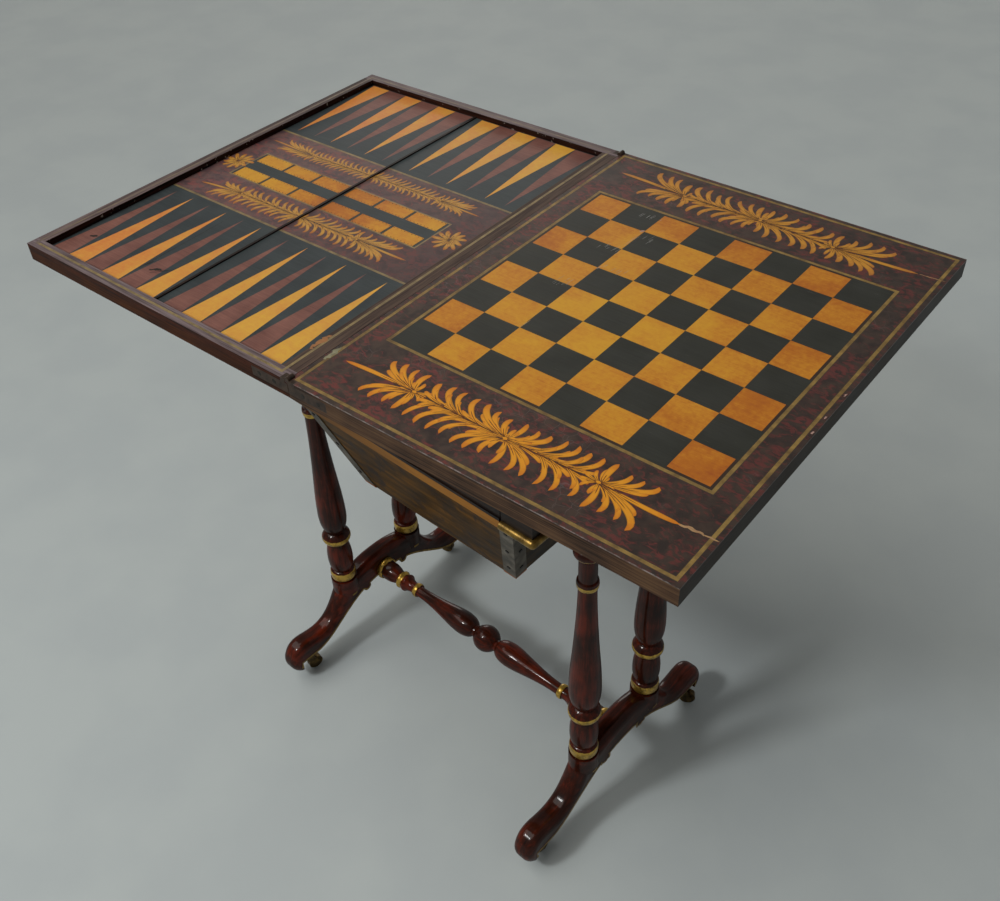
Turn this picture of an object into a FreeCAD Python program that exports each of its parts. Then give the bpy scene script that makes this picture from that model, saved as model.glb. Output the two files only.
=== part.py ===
import FreeCAD, Part
import os
from math import cos, hypot, radians, sin
from FreeCAD import Matrix, Vector

# Games and work table: a fold-over top (chess leaf and backgammon leaf) that swivels on a trestle base,
# with a tapered work box that slides out from under the frieze. Millimetres, +Z up.
# The origin is on the floor below the middle of the hinge line: X runs from the folding leaf to the fixed
# leaf, Y along the hinge line. The base stands a few degrees off square to the open top, swung round on it.

# Top
HEIGHT = 745.0
LEAF_WIDTH = 412.0
LEAF_LENGTH = 542.0
LEAF_THICK = 20.0
VENEER = 1.0
SEAM = 0.4
FOLD_GAP = 0.5

# Chess board and the lines round it
SQUARES_A_SIDE = 8
BOARD_MARGIN = 34.0
SQUARE = (LEAF_WIDTH - 2 * BOARD_MARGIN) / SQUARES_A_SIDE
BOARD_SHIFT = 3.0
BOARD_LINE = 4.5
EDGE_LINE = 4.5
EDGE_INSET = 4.5

# Backgammon leaf
RIM_WIDTH = 14.0
RIM_HINGE_WIDTH = 20.0
FIELD_DEPTH = 7.0
RIM_LINE = 3.0
RIM_LINE_INSET = 6.0
RIM_HINGE_LINE_INSET = 12.5
LINE_DEPTH = 0.8
BAR_WIDTH = 3.0
BAR_PROUD = 1.5
BAR_SHIFT = 6.9
FIELD_HALF = (LEAF_WIDTH - RIM_WIDTH - RIM_HINGE_WIDTH - BAR_WIDTH) / 2
PANEL_WIDTH = 172.0
PANEL_LINE = 3.0
PANEL_SHIFT = 4.3
POINTS_A_HALF = 6
POINT_END_SPACE = 2.7
POINT_GAP = 0.5
POINT_MARGIN = 1.0
POINT_TIP_GAP = 7.0
POINT_PITCH = (FIELD_HALF - BAR_SHIFT - 2 * POINT_END_SPACE) / POINTS_A_HALF
POINT_WIDTH = POINT_PITCH - POINT_GAP
SCORE_END_SPACE = 39.0
SCORE_LENGTH = 2 * (FIELD_HALF - SCORE_END_SPACE) + BAR_WIDTH
SCORE_WIDTH = 62.0
SCORE_LINE = 2.0
CELLS_A_HALF = 3
CELL_GAP = 2.0
CELL_END_GAP = 2.5
CELL_LENGTH = (SCORE_LENGTH / 2 - SCORE_LINE - CELL_END_GAP - BAR_WIDTH / 2) / CELLS_A_HALF - CELL_GAP
CELL_WIDTH = 20.0

# Edge hinges between the leaves
PLATE_LENGTH = 40.0
PLATE_HEIGHT = 11.0
PLATE_THICK = 2.5
PLATE_DROP = 4.0
LUG_LENGTH = 9.0
LUG_DEPTH = 7.0
KNUCKLE_RADIUS = 2.8
KNUCKLE_LENGTH = 4.0
KNUCKLE_GAP = 0.3
KNUCKLE_CLEARANCE = 0.5
PIN_RADIUS = 1.2
PIN_CLEARANCE = 0.06
SCREW_RADIUS = 1.3
SCREW_HEAD_RADIUS = 2.6
SCREW_HEAD_DEPTH = 1.3
SCREW_LENGTH = 14.0
SCREWS_A_PLATE = 2

# Swivel under the fixed leaf
SWIVEL_GAP = 0.4
SWIVEL_PLATE = 64.0
SWIVEL_PLATE_THICK = 4.0
STUD_RADIUS = 7.0
STUD_CLEARANCE = 0.05
THREAD_RADIUS = 5.5
WASHER_RADIUS = 16.0
WASHER_THICK = 2.5
NUT_ACROSS_CORNERS = 22.0
NUT_THICK = 10.0
STUD_TAIL = 2.0
SWIVEL_SCREW_INSET = 9.0

# Base as it stands under the open top
BASE_TURN = -3.5
BASE_X = -14.0
BASE_Y = -12.7

# Frieze frame
FRAME_LENGTH = 520.0
FRAME_WIDTH = 374.0
FRIEZE_DEPTH = 98.0
RAIL_THICK = 16.0
STILE_WIDTH = 38.0
STILE_DEPTH = 30.0
TOP_RAIL_THICK = 14.0
BEAD_RADIUS = 5.0
SWIVEL_BEARER_WIDTH = 90.0
SWIVEL_BEARER_THICK = 20.0
BEARER_THICK = 14.0
BEARER_WIDTH = 38.0
FRAME_SCREW_RADIUS = 2.5
FRAME_SCREW_HEAD_RADIUS = 4.5
FRAME_SCREW_HEAD_DEPTH = 2.5
FRAME_SCREW_LENGTH = 45.0

# Trestles and stretcher
TRESTLE_INSET = 30.5
TRESTLE_SPACING = FRAME_LENGTH - 2 * TRESTLE_INSET
LEG_SPACING = 130.0
FOOT_THICK = 32.0
FOOT_ROUND = 12.0
FOOT_REACH = 191.0
LEG_SEAT = 133.0
CREST_RISE = 5.0
FOOT_CREST = LEG_SEAT + CREST_RISE
FOOT_WEB = 37.0
FOOT_ARCH = FOOT_CREST - FOOT_WEB
SHOULDER_RADIUS = 19.5
SHOULDER_HEIGHT = 30.0
CUSP_RADIUS = 7.0
CUSP_PLACE = 38.0
CUSP_DROP = 6.0
CUSP_HEIGHT = FOOT_ARCH - CUSP_DROP
DOWEL_RADIUS = 8.0
DOWEL_LENGTH = 26.0
STRETCHER_DROP = 31.0
STRETCHER_HEIGHT = FOOT_CREST - STRETCHER_DROP
STRETCHER_DOWEL = 10.0
STRETCHER_DOWEL_RADIUS = 5.0

# Castors
CASTOR_SETBACK = 31.0
CASTOR_PLACE = FOOT_REACH - CASTOR_SETBACK
CASTOR_HEIGHT = 42.0
CASTOR_TRAIL = 12.0
WHEEL_RADIUS = 11.0
WHEEL_WIDTH = 9.0
WHEEL_GAP = 0.6
CHEEK_THICK = 2.2
CHEEK_RADIUS = 6.0
CHEEK_ROOT = 6.0
CROWN_RADIUS = 9.0
CROWN_THICK = 7.0
AXLE_RADIUS = 2.0
AXLE_CLEARANCE = 0.05
STEM_RADIUS = 3.5
STEM_LENGTH = 15.0
STEM_CLEARANCE = 0.05
SOCKET_RADIUS = 12.0
SOCKET_THICK = 2.5
SOCKET_WALL = 1.5
SOCKET_GAP = 0.4
TOE_CLEARANCE = 3.0

# Work box
FRONT_GAP = 1.0
FRONT_BAND_HEIGHT = 13.0
FRONT_BAND_PROUD = 1.5
DRAWER_RAIL_HEIGHT = 28.0
CROSS_RAIL_THICK = 12.0
DRAWER_SIDE_GAP = 2.0
RUNNER_GAP = 0.3
BOX_END_SETBACK = 21.0
BOX_SIDE_SETBACK = 34.0
BOX_TOP_LENGTH = FRAME_LENGTH - 2 * (STILE_WIDTH + BOX_END_SETBACK)
BOX_TOP_WIDTH = FRAME_WIDTH - 2 * BOX_SIDE_SETBACK
BOX_BOTTOM_LENGTH = 256.0
BOX_BOTTOM_WIDTH = 140.0
BOX_DEPTH = 251.0
BOX_WALL = 8.0
BOX_FLOOR = 9.0
STRIP_WIDTH = 18.0
STRIP_THICK = 1.2
TACK_RADIUS = 2.4
TACK_PROUD = 1.0
TACKS_A_STRIP = 5

# Heights and places that follow from the sizes above
half_length = LEAF_LENGTH / 2
underside = HEIGHT - LEAF_THICK
core_top = HEIGHT - VENEER
field_bed = HEIGHT - FIELD_DEPTH - VENEER
hinge_height = HEIGHT + FOLD_GAP / 2
frame_top = underside - SWIVEL_GAP
frame_bottom = frame_top - FRIEZE_DEPTH
half_frame_x = FRAME_LENGTH / 2
half_frame_y = FRAME_WIDTH / 2
stile_inner = half_frame_x - STILE_WIDTH
runner_top = frame_bottom + BEARER_THICK
trestle_x = TRESTLE_SPACING / 2
leg_y = LEG_SPACING / 2
bush_radius = STEM_RADIUS + STEM_CLEARANCE + SOCKET_WALL
corners = {
    "near_left": (-1, -1),
    "near_right": (1, -1),
    "far_left": (-1, 1),
    "far_right": (1, 1),
}
castor_turns = {"near_left": 80.0, "near_right": 100.0, "far_left": 200.0, "far_right": 35.0}

# The closed top is centred on the base after a quarter turn, which fixes the swivel's place
closing_turn = radians(BASE_TURN - 90)
shift_x = BASE_X - cos(closing_turn) * LEAF_WIDTH / 2
shift_y = BASE_Y - sin(closing_turn) * LEAF_WIDTH / 2
spread = 2 * (1 - cos(closing_turn))
pivot_x = ((1 - cos(closing_turn)) * shift_x - sin(closing_turn) * shift_y) / spread
pivot_y = (sin(closing_turn) * shift_x + (1 - cos(closing_turn)) * shift_y) / spread
base_c = cos(radians(BASE_TURN))
base_s = sin(radians(BASE_TURN))
pivot_base_x = (pivot_x - BASE_X) * base_c + (pivot_y - BASE_Y) * base_s
pivot_base_y = (pivot_y - BASE_Y) * base_c - (pivot_x - BASE_X) * base_s


def block(x0, x1, y0, y1, z0, z1):
    return Part.makeBox(x1 - x0, y1 - y0, z1 - z0, Vector(x0, y0, z0))


def rod(radius, start, end):
    run = end - start
    return Part.makeCylinder(radius, run.Length, start, run)


def prism(points, z0, z1):
    corners_3d = [Vector(x, y, z0) for x, y in points]
    face = Part.Face(Part.makePolygon(corners_3d + corners_3d[:1]))
    return face.extrude(Vector(0, 0, z1 - z0))


def ring(x0, x1, y0, y1, z0, z1, width):
    inner = block(x0 + width, x1 - width, y0 + width, y1 - width, z0, z1)
    return block(x0, x1, y0, y1, z0, z1).cut(inner)


def lathe(runs):
    # A turned solid about Z. Each run is a list of (height, radius):
    # straight for two points, smooth for more.
    edges = []
    for run in runs:
        points = [Vector(radius, 0, height) for height, radius in run]
        if len(points) == 2:
            edges.append(Part.makeLine(points[0], points[1]))
        else:
            curve = Part.BSplineCurve()
            curve.interpolate(points)
            edges.append(curve.toShape())
    first_height, first_radius = runs[0][0]
    last_height, last_radius = runs[-1][-1]
    foot = Vector(0, 0, first_height)
    head = Vector(0, 0, last_height)
    edges.insert(0, Part.makeLine(foot, Vector(first_radius, 0, first_height)))
    edges.append(Part.makeLine(Vector(last_radius, 0, last_height), head))
    edges.append(Part.makeLine(head, foot))
    return Part.Face(Part.Wire(edges)).revolve(Vector(0, 0, 0), Vector(0, 0, 1), 360)


def frustum(half_x0, half_y0, z0, half_x1, half_y1, z1):
    def rectangle(half_x, half_y, z):
        points = [Vector(sx * half_x, sy * half_y, z) for sx, sy in ((-1, -1), (1, -1), (1, 1), (-1, 1))]
        return Part.makePolygon(points + points[:1])
    return Part.makeLoft([rectangle(half_x0, half_y0, z0), rectangle(half_x1, half_y1, z1)], True, True)


def six_sided(lower, upper):
    # A solid between two four-cornered faces whose corners correspond.
    def face(points):
        return Part.Face(Part.makePolygon(list(points) + [points[0]]))
    sides = [face((lower[i], lower[(i + 1) % 4], upper[(i + 1) % 4], upper[i])) for i in range(4)]
    shell = Part.makeShell([face(lower), face(upper)] + sides)
    solid = Part.makeSolid(shell)
    if solid.Volume < 0:
        solid.reverse()
    return solid


def mirror_y(shape):
    return shape.mirror(Vector(0, 0, 0), Vector(0, 1, 0))


def mirror_x(shape):
    return shape.mirror(Vector(0, 0, 0), Vector(1, 0, 0))


def stand(shape):
    # Carries a piece from the base's own axes to where the base stands.
    move = Matrix()
    move.rotateZ(radians(BASE_TURN))
    move.move(Vector(BASE_X, BASE_Y, 0))
    return shape.transformed(move, True)


def save(name, shape):
    shape.exportStep("parts/" + name + ".step")


def group(shapes):
    return Part.makeCompound(shapes)


def screw(head, direction, radius, head_radius, head_depth, length):
    # A countersunk screw with the flat of its head at the point given.
    unit = Vector(direction).normalize()
    cone = Part.makeCone(head_radius, radius, head_depth, head, unit)
    shank = Part.makeCylinder(radius, length - head_depth, head + unit * head_depth, unit)
    return cone.fuse(shank)


# Edge hinges

def hinge_screws(side):
    screws = []
    for end in (-1, 1):
        for k in range(SCREWS_A_PLATE):
            along = LUG_LENGTH + PLATE_LENGTH * (k + 0.5) / SCREWS_A_PLATE
            head = Vector(side * along, end * half_length, HEIGHT - PLATE_DROP - PLATE_HEIGHT / 2)
            screws.append(screw(head, Vector(0, -end, 0), SCREW_RADIUS, SCREW_HEAD_RADIUS,
                                SCREW_HEAD_DEPTH, SCREW_LENGTH))
    return screws


def hinge_half(side, slot_start, slot_end, bore):
    # Near hinge half on the side of x given: a plate let into the leaf's edge,
    # a lug, and a barrel on the axis.
    edge = -half_length
    reach = LUG_LENGTH + PLATE_LENGTH
    plate_top = HEIGHT - PLATE_DROP
    plate = block(SEAM, reach, edge, edge + PLATE_THICK, plate_top - PLATE_HEIGHT, plate_top)
    arm = block(KNUCKLE_RADIUS + KNUCKLE_CLEARANCE, LUG_LENGTH, edge, edge + slot_end,
                HEIGHT - LUG_DEPTH, HEIGHT)
    nose = block(SEAM / 2, LUG_LENGTH, edge + slot_start, edge + slot_end, HEIGHT - LUG_DEPTH, HEIGHT)
    axis_start = Vector(0, edge + slot_start, hinge_height)
    axis_end = Vector(0, edge + slot_end, hinge_height)
    other_start = 0.0 if slot_start > 0 else slot_end
    other_end = slot_start if slot_start > 0 else 2 * KNUCKLE_LENGTH + KNUCKLE_GAP
    clear = rod(KNUCKLE_RADIUS + KNUCKLE_CLEARANCE, Vector(0, edge + other_start, hinge_height),
                Vector(0, edge + other_end, hinge_height))
    half = plate.fuse([arm, nose]).cut(clear)
    half = half.fuse(rod(KNUCKLE_RADIUS, axis_start, axis_end))
    if bore:
        half = half.cut(rod(PIN_RADIUS + PIN_CLEARANCE, axis_start, axis_end))
    return half if side > 0 else mirror_x(half)


knuckle_end = 2 * KNUCKLE_LENGTH + KNUCKLE_GAP
fixed_near = hinge_half(1, 0.0, KNUCKLE_LENGTH, False)
pin_near = rod(PIN_RADIUS, Vector(0, KNUCKLE_LENGTH - half_length, hinge_height),
               Vector(0, knuckle_end - half_length, hinge_height))
fixed_near = fixed_near.fuse(pin_near).removeSplitter()
folding_near = hinge_half(-1, KNUCKLE_LENGTH + KNUCKLE_GAP, knuckle_end, True).removeSplitter()
fixed_screws = hinge_screws(1)
folding_screws = hinge_screws(-1)
fixed_hinges = [half.cut(fixed_screws) for half in (fixed_near, mirror_y(fixed_near))]
folding_hinges = [half.cut(folding_screws) for half in (folding_near, mirror_y(folding_near))]
knuckle_room = [
    rod(KNUCKLE_RADIUS + KNUCKLE_CLEARANCE, Vector(0, end * half_length, hinge_height),
        Vector(0, end * (half_length - knuckle_end - KNUCKLE_CLEARANCE), hinge_height))
    for end in (-1, 1)
]
fixed_let_in = [fixed_near, mirror_y(fixed_near)] + knuckle_room + fixed_screws
folding_let_in = [folding_near, mirror_y(folding_near)] + knuckle_room + folding_screws


# Swivel: a plate and stud under the fixed leaf, held below the bearer by a washer and nut

bearer_low = frame_top - SWIVEL_BEARER_THICK
washer_top = bearer_low - SWIVEL_GAP
nut_top = washer_top - WASHER_THICK
stud_low = nut_top - NUT_THICK - STUD_TAIL


def upright(radius, z0, z1):
    return rod(radius, Vector(pivot_x, pivot_y, z0), Vector(pivot_x, pivot_y, z1))


half_plate = SWIVEL_PLATE / 2
screw_place = half_plate - SWIVEL_SCREW_INSET
swivel_plate = block(pivot_x - half_plate, pivot_x + half_plate, pivot_y - half_plate, pivot_y + half_plate,
                     underside, underside + SWIVEL_PLATE_THICK)
swivel_screws = [
    screw(Vector(pivot_x + sx * screw_place, pivot_y + sy * screw_place, underside), Vector(0, 0, 1),
          SCREW_RADIUS, SCREW_HEAD_RADIUS, SCREW_HEAD_DEPTH, SCREW_LENGTH)
    for sx, sy in corners.values()
]
swivel_recess = [swivel_plate] + swivel_screws
stud = upright(STUD_RADIUS, washer_top, underside).fuse(upright(THREAD_RADIUS, stud_low, washer_top))
swivel_stud_plate = swivel_plate.cut(swivel_screws).fuse(stud).removeSplitter()
swivel_washer = upright(WASHER_RADIUS, nut_top, washer_top).cut(upright(THREAD_RADIUS, nut_top, washer_top))
nut_radius = NUT_ACROSS_CORNERS / 2
nut_low = nut_top - NUT_THICK
nut_points = [
    (pivot_x + nut_radius * cos(radians(60 * k)), pivot_y + nut_radius * sin(radians(60 * k)))
    for k in range(6)
]
swivel_nut = prism(nut_points, nut_low, nut_top).cut(upright(THREAD_RADIUS, nut_low, nut_top))


# Chess leaf: a core board with a one-piece-thick veneer of ground, lines and squares

board_x = LEAF_WIDTH / 2
half_board = SQUARE * SQUARES_A_SIDE / 2
board_near = BOARD_SHIFT - half_board
board_far = BOARD_SHIFT + half_board
board_window = (board_x - half_board, board_x + half_board, board_near, board_far)


def chess_leaf():
    core = block(SEAM / 2, LEAF_WIDTH, -half_length, half_length, underside, core_top)
    save("chess_core", core.cut(fixed_let_in + swivel_recess))
    x0, x1, y0, y1 = board_window
    edge_y = half_length - EDGE_INSET
    edge_line = ring(EDGE_INSET, LEAF_WIDTH - EDGE_INSET, -edge_y, edge_y, core_top, HEIGHT, EDGE_LINE)
    board_line = ring(x0 - BOARD_LINE, x1 + BOARD_LINE, y0 - BOARD_LINE, y1 + BOARD_LINE,
                      core_top, HEIGHT, BOARD_LINE)
    inlay = block(x0, x1, y0, y1, core_top, HEIGHT)
    ground = block(SEAM / 2, LEAF_WIDTH, -half_length, half_length, core_top, HEIGHT)
    save("chess_ground", ground.cut([edge_line, board_line, inlay] + fixed_let_in))
    save("chess_lines", group([edge_line.cut(fixed_let_in), board_line]))
    shades = {"dark": [], "light": []}
    for i in range(SQUARES_A_SIDE):
        for j in range(SQUARES_A_SIDE):
            left = x0 + i * SQUARE
            near = y0 + j * SQUARE
            shade = "dark" if (i + j) % 2 == 0 else "light"
            shades[shade].append(block(left, left + SQUARE, near, near + SQUARE, core_top, HEIGHT))
    for shade, squares in shades.items():
        save(shade + "_squares", group(squares))
    save("fixed_hinges", group(fixed_hinges))
    save("swivel_stud_plate", swivel_stud_plate)
    save("swivel_washer", swivel_washer)
    save("swivel_nut", swivel_nut)
    save("chess_leaf_screws", group(fixed_screws + swivel_screws))


# Backgammon leaf: a board with a raised rim, and a veneered field inside the rim

field_left = RIM_WIDTH - LEAF_WIDTH
field_right = -RIM_HINGE_WIDTH
half_field = half_length - RIM_WIDTH
bar_x = (field_left + field_right) / 2 - BAR_SHIFT
field_top = field_bed + VENEER
half_panel = PANEL_WIDTH / 2


def point_rows():
    # Two rows of points on each long side; the near row starts with brown, the far row with amber.
    rows = {"amber": [], "brown": []}
    run = POINTS_A_HALF * POINT_PITCH
    halves = ((field_left, bar_x - BAR_WIDTH / 2), (bar_x + BAR_WIDTH / 2, field_right))
    for side, first in ((-1, "brown"), (1, "amber")):
        second = "amber" if first == "brown" else "brown"
        base = side * (half_field - POINT_MARGIN)
        tip = PANEL_SHIFT + side * (half_panel + PANEL_LINE + POINT_TIP_GAP)
        for left, right in halves:
            for k in range(POINTS_A_HALF):
                middle = (left + right - run) / 2 + (k + 0.5) * POINT_PITCH
                points = [(middle - POINT_WIDTH / 2, base), (middle + POINT_WIDTH / 2, base), (middle, tip)]
                rows[first if k % 2 == 0 else second].append(prism(points, field_bed, field_top))
    return rows


def score_cells():
    cells = []
    half_score = SCORE_WIDTH / 2 - SCORE_LINE
    for half in (-1, 1):
        for k in range(CELLS_A_HALF):
            inner = BAR_WIDTH / 2 + CELL_GAP + k * (CELL_LENGTH + CELL_GAP)
            span = sorted((bar_x + half * inner, bar_x + half * (inner + CELL_LENGTH)))
            for side in (-1, 1):
                depth = sorted(PANEL_SHIFT + side * y for y in (half_score, half_score - CELL_WIDTH))
                cells.append(block(span[0], span[1], depth[0], depth[1], field_bed, field_top))
    return cells


def backgammon_leaf():
    board = block(-LEAF_WIDTH, -SEAM / 2, -half_length, half_length, underside, field_bed)
    save("backgammon_board", board.cut(folding_let_in))
    line_y = half_length - RIM_LINE_INSET
    rim_line = ring(RIM_LINE_INSET - LEAF_WIDTH, -RIM_HINGE_LINE_INSET, -line_y, line_y,
                    HEIGHT - LINE_DEPTH, HEIGHT, RIM_LINE)
    let_in = folding_let_in + [rim_line]
    rims = {
        "rim_near": (-LEAF_WIDTH, -SEAM / 2, -half_length, -half_field),
        "rim_far": (-LEAF_WIDTH, -SEAM / 2, half_field, half_length),
        "rim_outer": (-LEAF_WIDTH, field_left, -half_field, half_field),
        "rim_hinge": (field_right, -SEAM / 2, -half_field, half_field),
    }
    for name, (x0, x1, y0, y1) in rims.items():
        save(name, block(x0, x1, y0, y1, field_bed, HEIGHT).cut(let_in))
    half_bar = BAR_WIDTH / 2
    bar = block(bar_x - half_bar, bar_x + half_bar, -half_field, half_field, field_bed, field_top + BAR_PROUD)
    save("bar_strip", bar)
    rows = point_rows()
    for shade, points in rows.items():
        save(shade + "_points", group(points))
    cells = score_cells()
    save("score_cells", group(cells))
    score_left = bar_x - SCORE_LENGTH / 2
    score_right = bar_x + SCORE_LENGTH / 2
    score_near = PANEL_SHIFT - SCORE_WIDTH / 2
    score_far = PANEL_SHIFT + SCORE_WIDTH / 2
    score = block(score_left, score_right, score_near, score_far, field_bed, field_top)
    score_line = ring(score_left, score_right, score_near, score_far, field_bed, field_top, SCORE_LINE)
    score_line = score_line.cut(bar)
    panel_near = PANEL_SHIFT - half_panel
    panel_far = PANEL_SHIFT + half_panel
    panel = block(field_left, field_right, panel_near, panel_far, field_bed, field_top)
    save("centre_panel", panel.cut([score, bar]))
    panel_lines = [
        block(field_left, field_right, y, y + PANEL_LINE, field_bed, field_top).cut(bar)
        for y in (panel_near - PANEL_LINE, panel_far)
    ]
    save("backgammon_lines", group([rim_line.cut(folding_let_in), score_line] + panel_lines))
    field = block(field_left, field_right, -half_field, half_field, field_bed, field_top)
    ground = field.cut([panel, bar] + panel_lines + rows["amber"] + rows["brown"])
    save("field_ground", group(ground.Solids + score.cut([score_line, bar] + cells).Solids))
    save("folding_hinges", group(folding_hinges))
    save("backgammon_leaf_screws", group(folding_screws))


# Frieze frame, in the base's own axes

def frame():
    bearer_x0 = pivot_base_x - SWIVEL_BEARER_WIDTH / 2
    bearer_x1 = pivot_base_x + SWIVEL_BEARER_WIDTH / 2
    rail_inner_x = half_frame_x - RAIL_THICK
    rail_inner_y = half_frame_y - RAIL_THICK
    stile_end = STILE_DEPTH - half_frame_y
    frame_screws = []
    for x in (bearer_x0 + SWIVEL_BEARER_WIDTH / 4, bearer_x1 - SWIVEL_BEARER_WIDTH / 4):
        for end in (-1, 1):
            head = Vector(x, end * half_frame_y, frame_top - TOP_RAIL_THICK / 2)
            frame_screws.append(screw(head, Vector(0, -end, 0), FRAME_SCREW_RADIUS, FRAME_SCREW_HEAD_RADIUS,
                                      FRAME_SCREW_HEAD_DEPTH, FRAME_SCREW_LENGTH))
    save("frame_screws", group([stand(s) for s in frame_screws]))
    end_rail = block(rail_inner_x, half_frame_x, -half_frame_y, half_frame_y, frame_bottom, frame_top)
    stile = block(stile_inner, rail_inner_x, -half_frame_y, stile_end, frame_bottom, frame_top)
    end_rail = end_rail.fuse(stile).removeSplitter()
    save("end_rail_right", stand(end_rail))
    save("end_rail_left", stand(mirror_x(end_rail)))
    back = block(-rail_inner_x, rail_inner_x, rail_inner_y, half_frame_y, frame_bottom, frame_top)
    save("back_rail", stand(back.cut(frame_screws)))
    top_rail = block(-stile_inner, stile_inner, -half_frame_y, stile_end,
                     frame_top - TOP_RAIL_THICK, frame_top)
    save("front_top_rail", stand(top_rail.cut(frame_screws)))
    hole = rod(STUD_RADIUS + STUD_CLEARANCE, Vector(pivot_base_x, pivot_base_y, bearer_low),
               Vector(pivot_base_x, pivot_base_y, frame_top))
    plank = block(bearer_x0, bearer_x1, stile_end, rail_inner_y, bearer_low, frame_top)
    save("swivel_bearer", stand(plank.cut([hole] + frame_screws)))
    for name, side in (("left", -1), ("right", 1)):
        span = sorted((side * (rail_inner_x - BEARER_WIDTH), side * rail_inner_x))
        bearer = block(span[0], span[1], stile_end, rail_inner_y, frame_bottom, runner_top)
        dowel_x = side * trestle_x
        dowels = [
            rod(DOWEL_RADIUS, Vector(dowel_x, y, frame_bottom), Vector(dowel_x, y, runner_top))
            for y in (-leg_y, leg_y)
        ]
        save("trestle_bearer_" + name, stand(bearer.cut(dowels)))
    save("frame_bead", stand(bead_round_frame()))


def bead_round_frame():
    # A half-round gilt bead along the frieze's foot, all round but for the work box's front.
    z = frame_bottom + BEAD_RADIUS
    route = [(-stile_inner, -half_frame_y), (-half_frame_x, -half_frame_y), (-half_frame_x, half_frame_y),
             (half_frame_x, half_frame_y), (half_frame_x, -half_frame_y), (stile_inner, -half_frame_y)]
    pieces = []
    for (x0, y0), (x1, y1) in zip(route, route[1:]):
        pieces.append(rod(BEAD_RADIUS, Vector(x0, y0, z), Vector(x1, y1, z)))
    for x, y in route[1:-1]:
        pieces.append(Part.makeSphere(BEAD_RADIUS, Vector(x, y, z)))
    inside = block(-half_frame_x, half_frame_x, -half_frame_y, half_frame_y, frame_bottom, frame_top)
    return pieces[0].fuse(pieces[1:]).cut(inside).removeSplitter()


# Turned legs and stretcher

def leg():
    # Rings, bulb and belly are set up from the foot, collar, vase and capital down from the frame.
    # The shaft between belly and collar takes up the rest, with a thin ring on it.
    seat = LEG_SEAT
    top = frame_bottom
    belly = seat + 134
    collar = top - 131
    shaft = collar - belly
    thin_ring = belly + 0.787 * shaft
    runs = [
        [(seat - DOWEL_LENGTH, DOWEL_RADIUS), (seat, DOWEL_RADIUS)],
        [(seat, DOWEL_RADIUS), (seat, 16.4)],
        [(seat, 16.4), (seat + 4, 18.2), (seat + 10.5, 18.8), (seat + 17, 17.8), (seat + 20, 14.6)],
        [(seat + 20, 14.6), (seat + 30, 17.5), (seat + 45, 18.4), (seat + 63, 16.8), (seat + 75, 13.4)],
        [(seat + 75, 13.4), (seat + 78, 16.0)],
        [(seat + 78, 16.0), (seat + 81.5, 20.0), (seat + 86, 20.9), (seat + 91, 19.2), (seat + 97, 13.0)],
        [(seat + 97, 13.0), (seat + 104, 16.0), (seat + 117, 19.2), (belly, 20.1),
         (belly + 0.13 * shaft, 19.0), (belly + 0.3 * shaft, 16.2), (belly + 0.515 * shaft, 13.0),
         (thin_ring, 10.8)],
        [(thin_ring, 10.8), (thin_ring + 1, 12.4)],
        [(thin_ring + 1, 12.4), (thin_ring + 6, 13.0), (thin_ring + 11, 12.4)],
        [(thin_ring + 11, 12.4), (thin_ring + 12, 10.7)],
        [(thin_ring + 12, 10.7), (collar, 10.7)],
        [(collar, 10.7), (top - 129, 14.5)],
        [(top - 129, 14.5), (top - 125, 16.8), (top - 120, 16.0), (top - 117, 13.0)],
        [(top - 117, 13.0), (top - 103, 16.8), (top - 86, 17.6), (top - 62, 14.4), (top - 38, 11.4)],
        [(top - 38, 11.4), (top - 37, 14.4)],
        [(top - 37, 14.4), (top - 32, 15.6), (top - 27, 14.4)],
        [(top - 27, 14.4), (top - 26, 12.0)],
        [(top - 26, 12.0), (top - 20, 13.4), (top - 12, 17.0)],
        [(top - 12, 17.0), (top, 17.0)],
        [(top, 17.0), (top, DOWEL_RADIUS)],
        [(top, DOWEL_RADIUS), (runner_top, DOWEL_RADIUS)],
    ]
    return lathe(runs)


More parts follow.
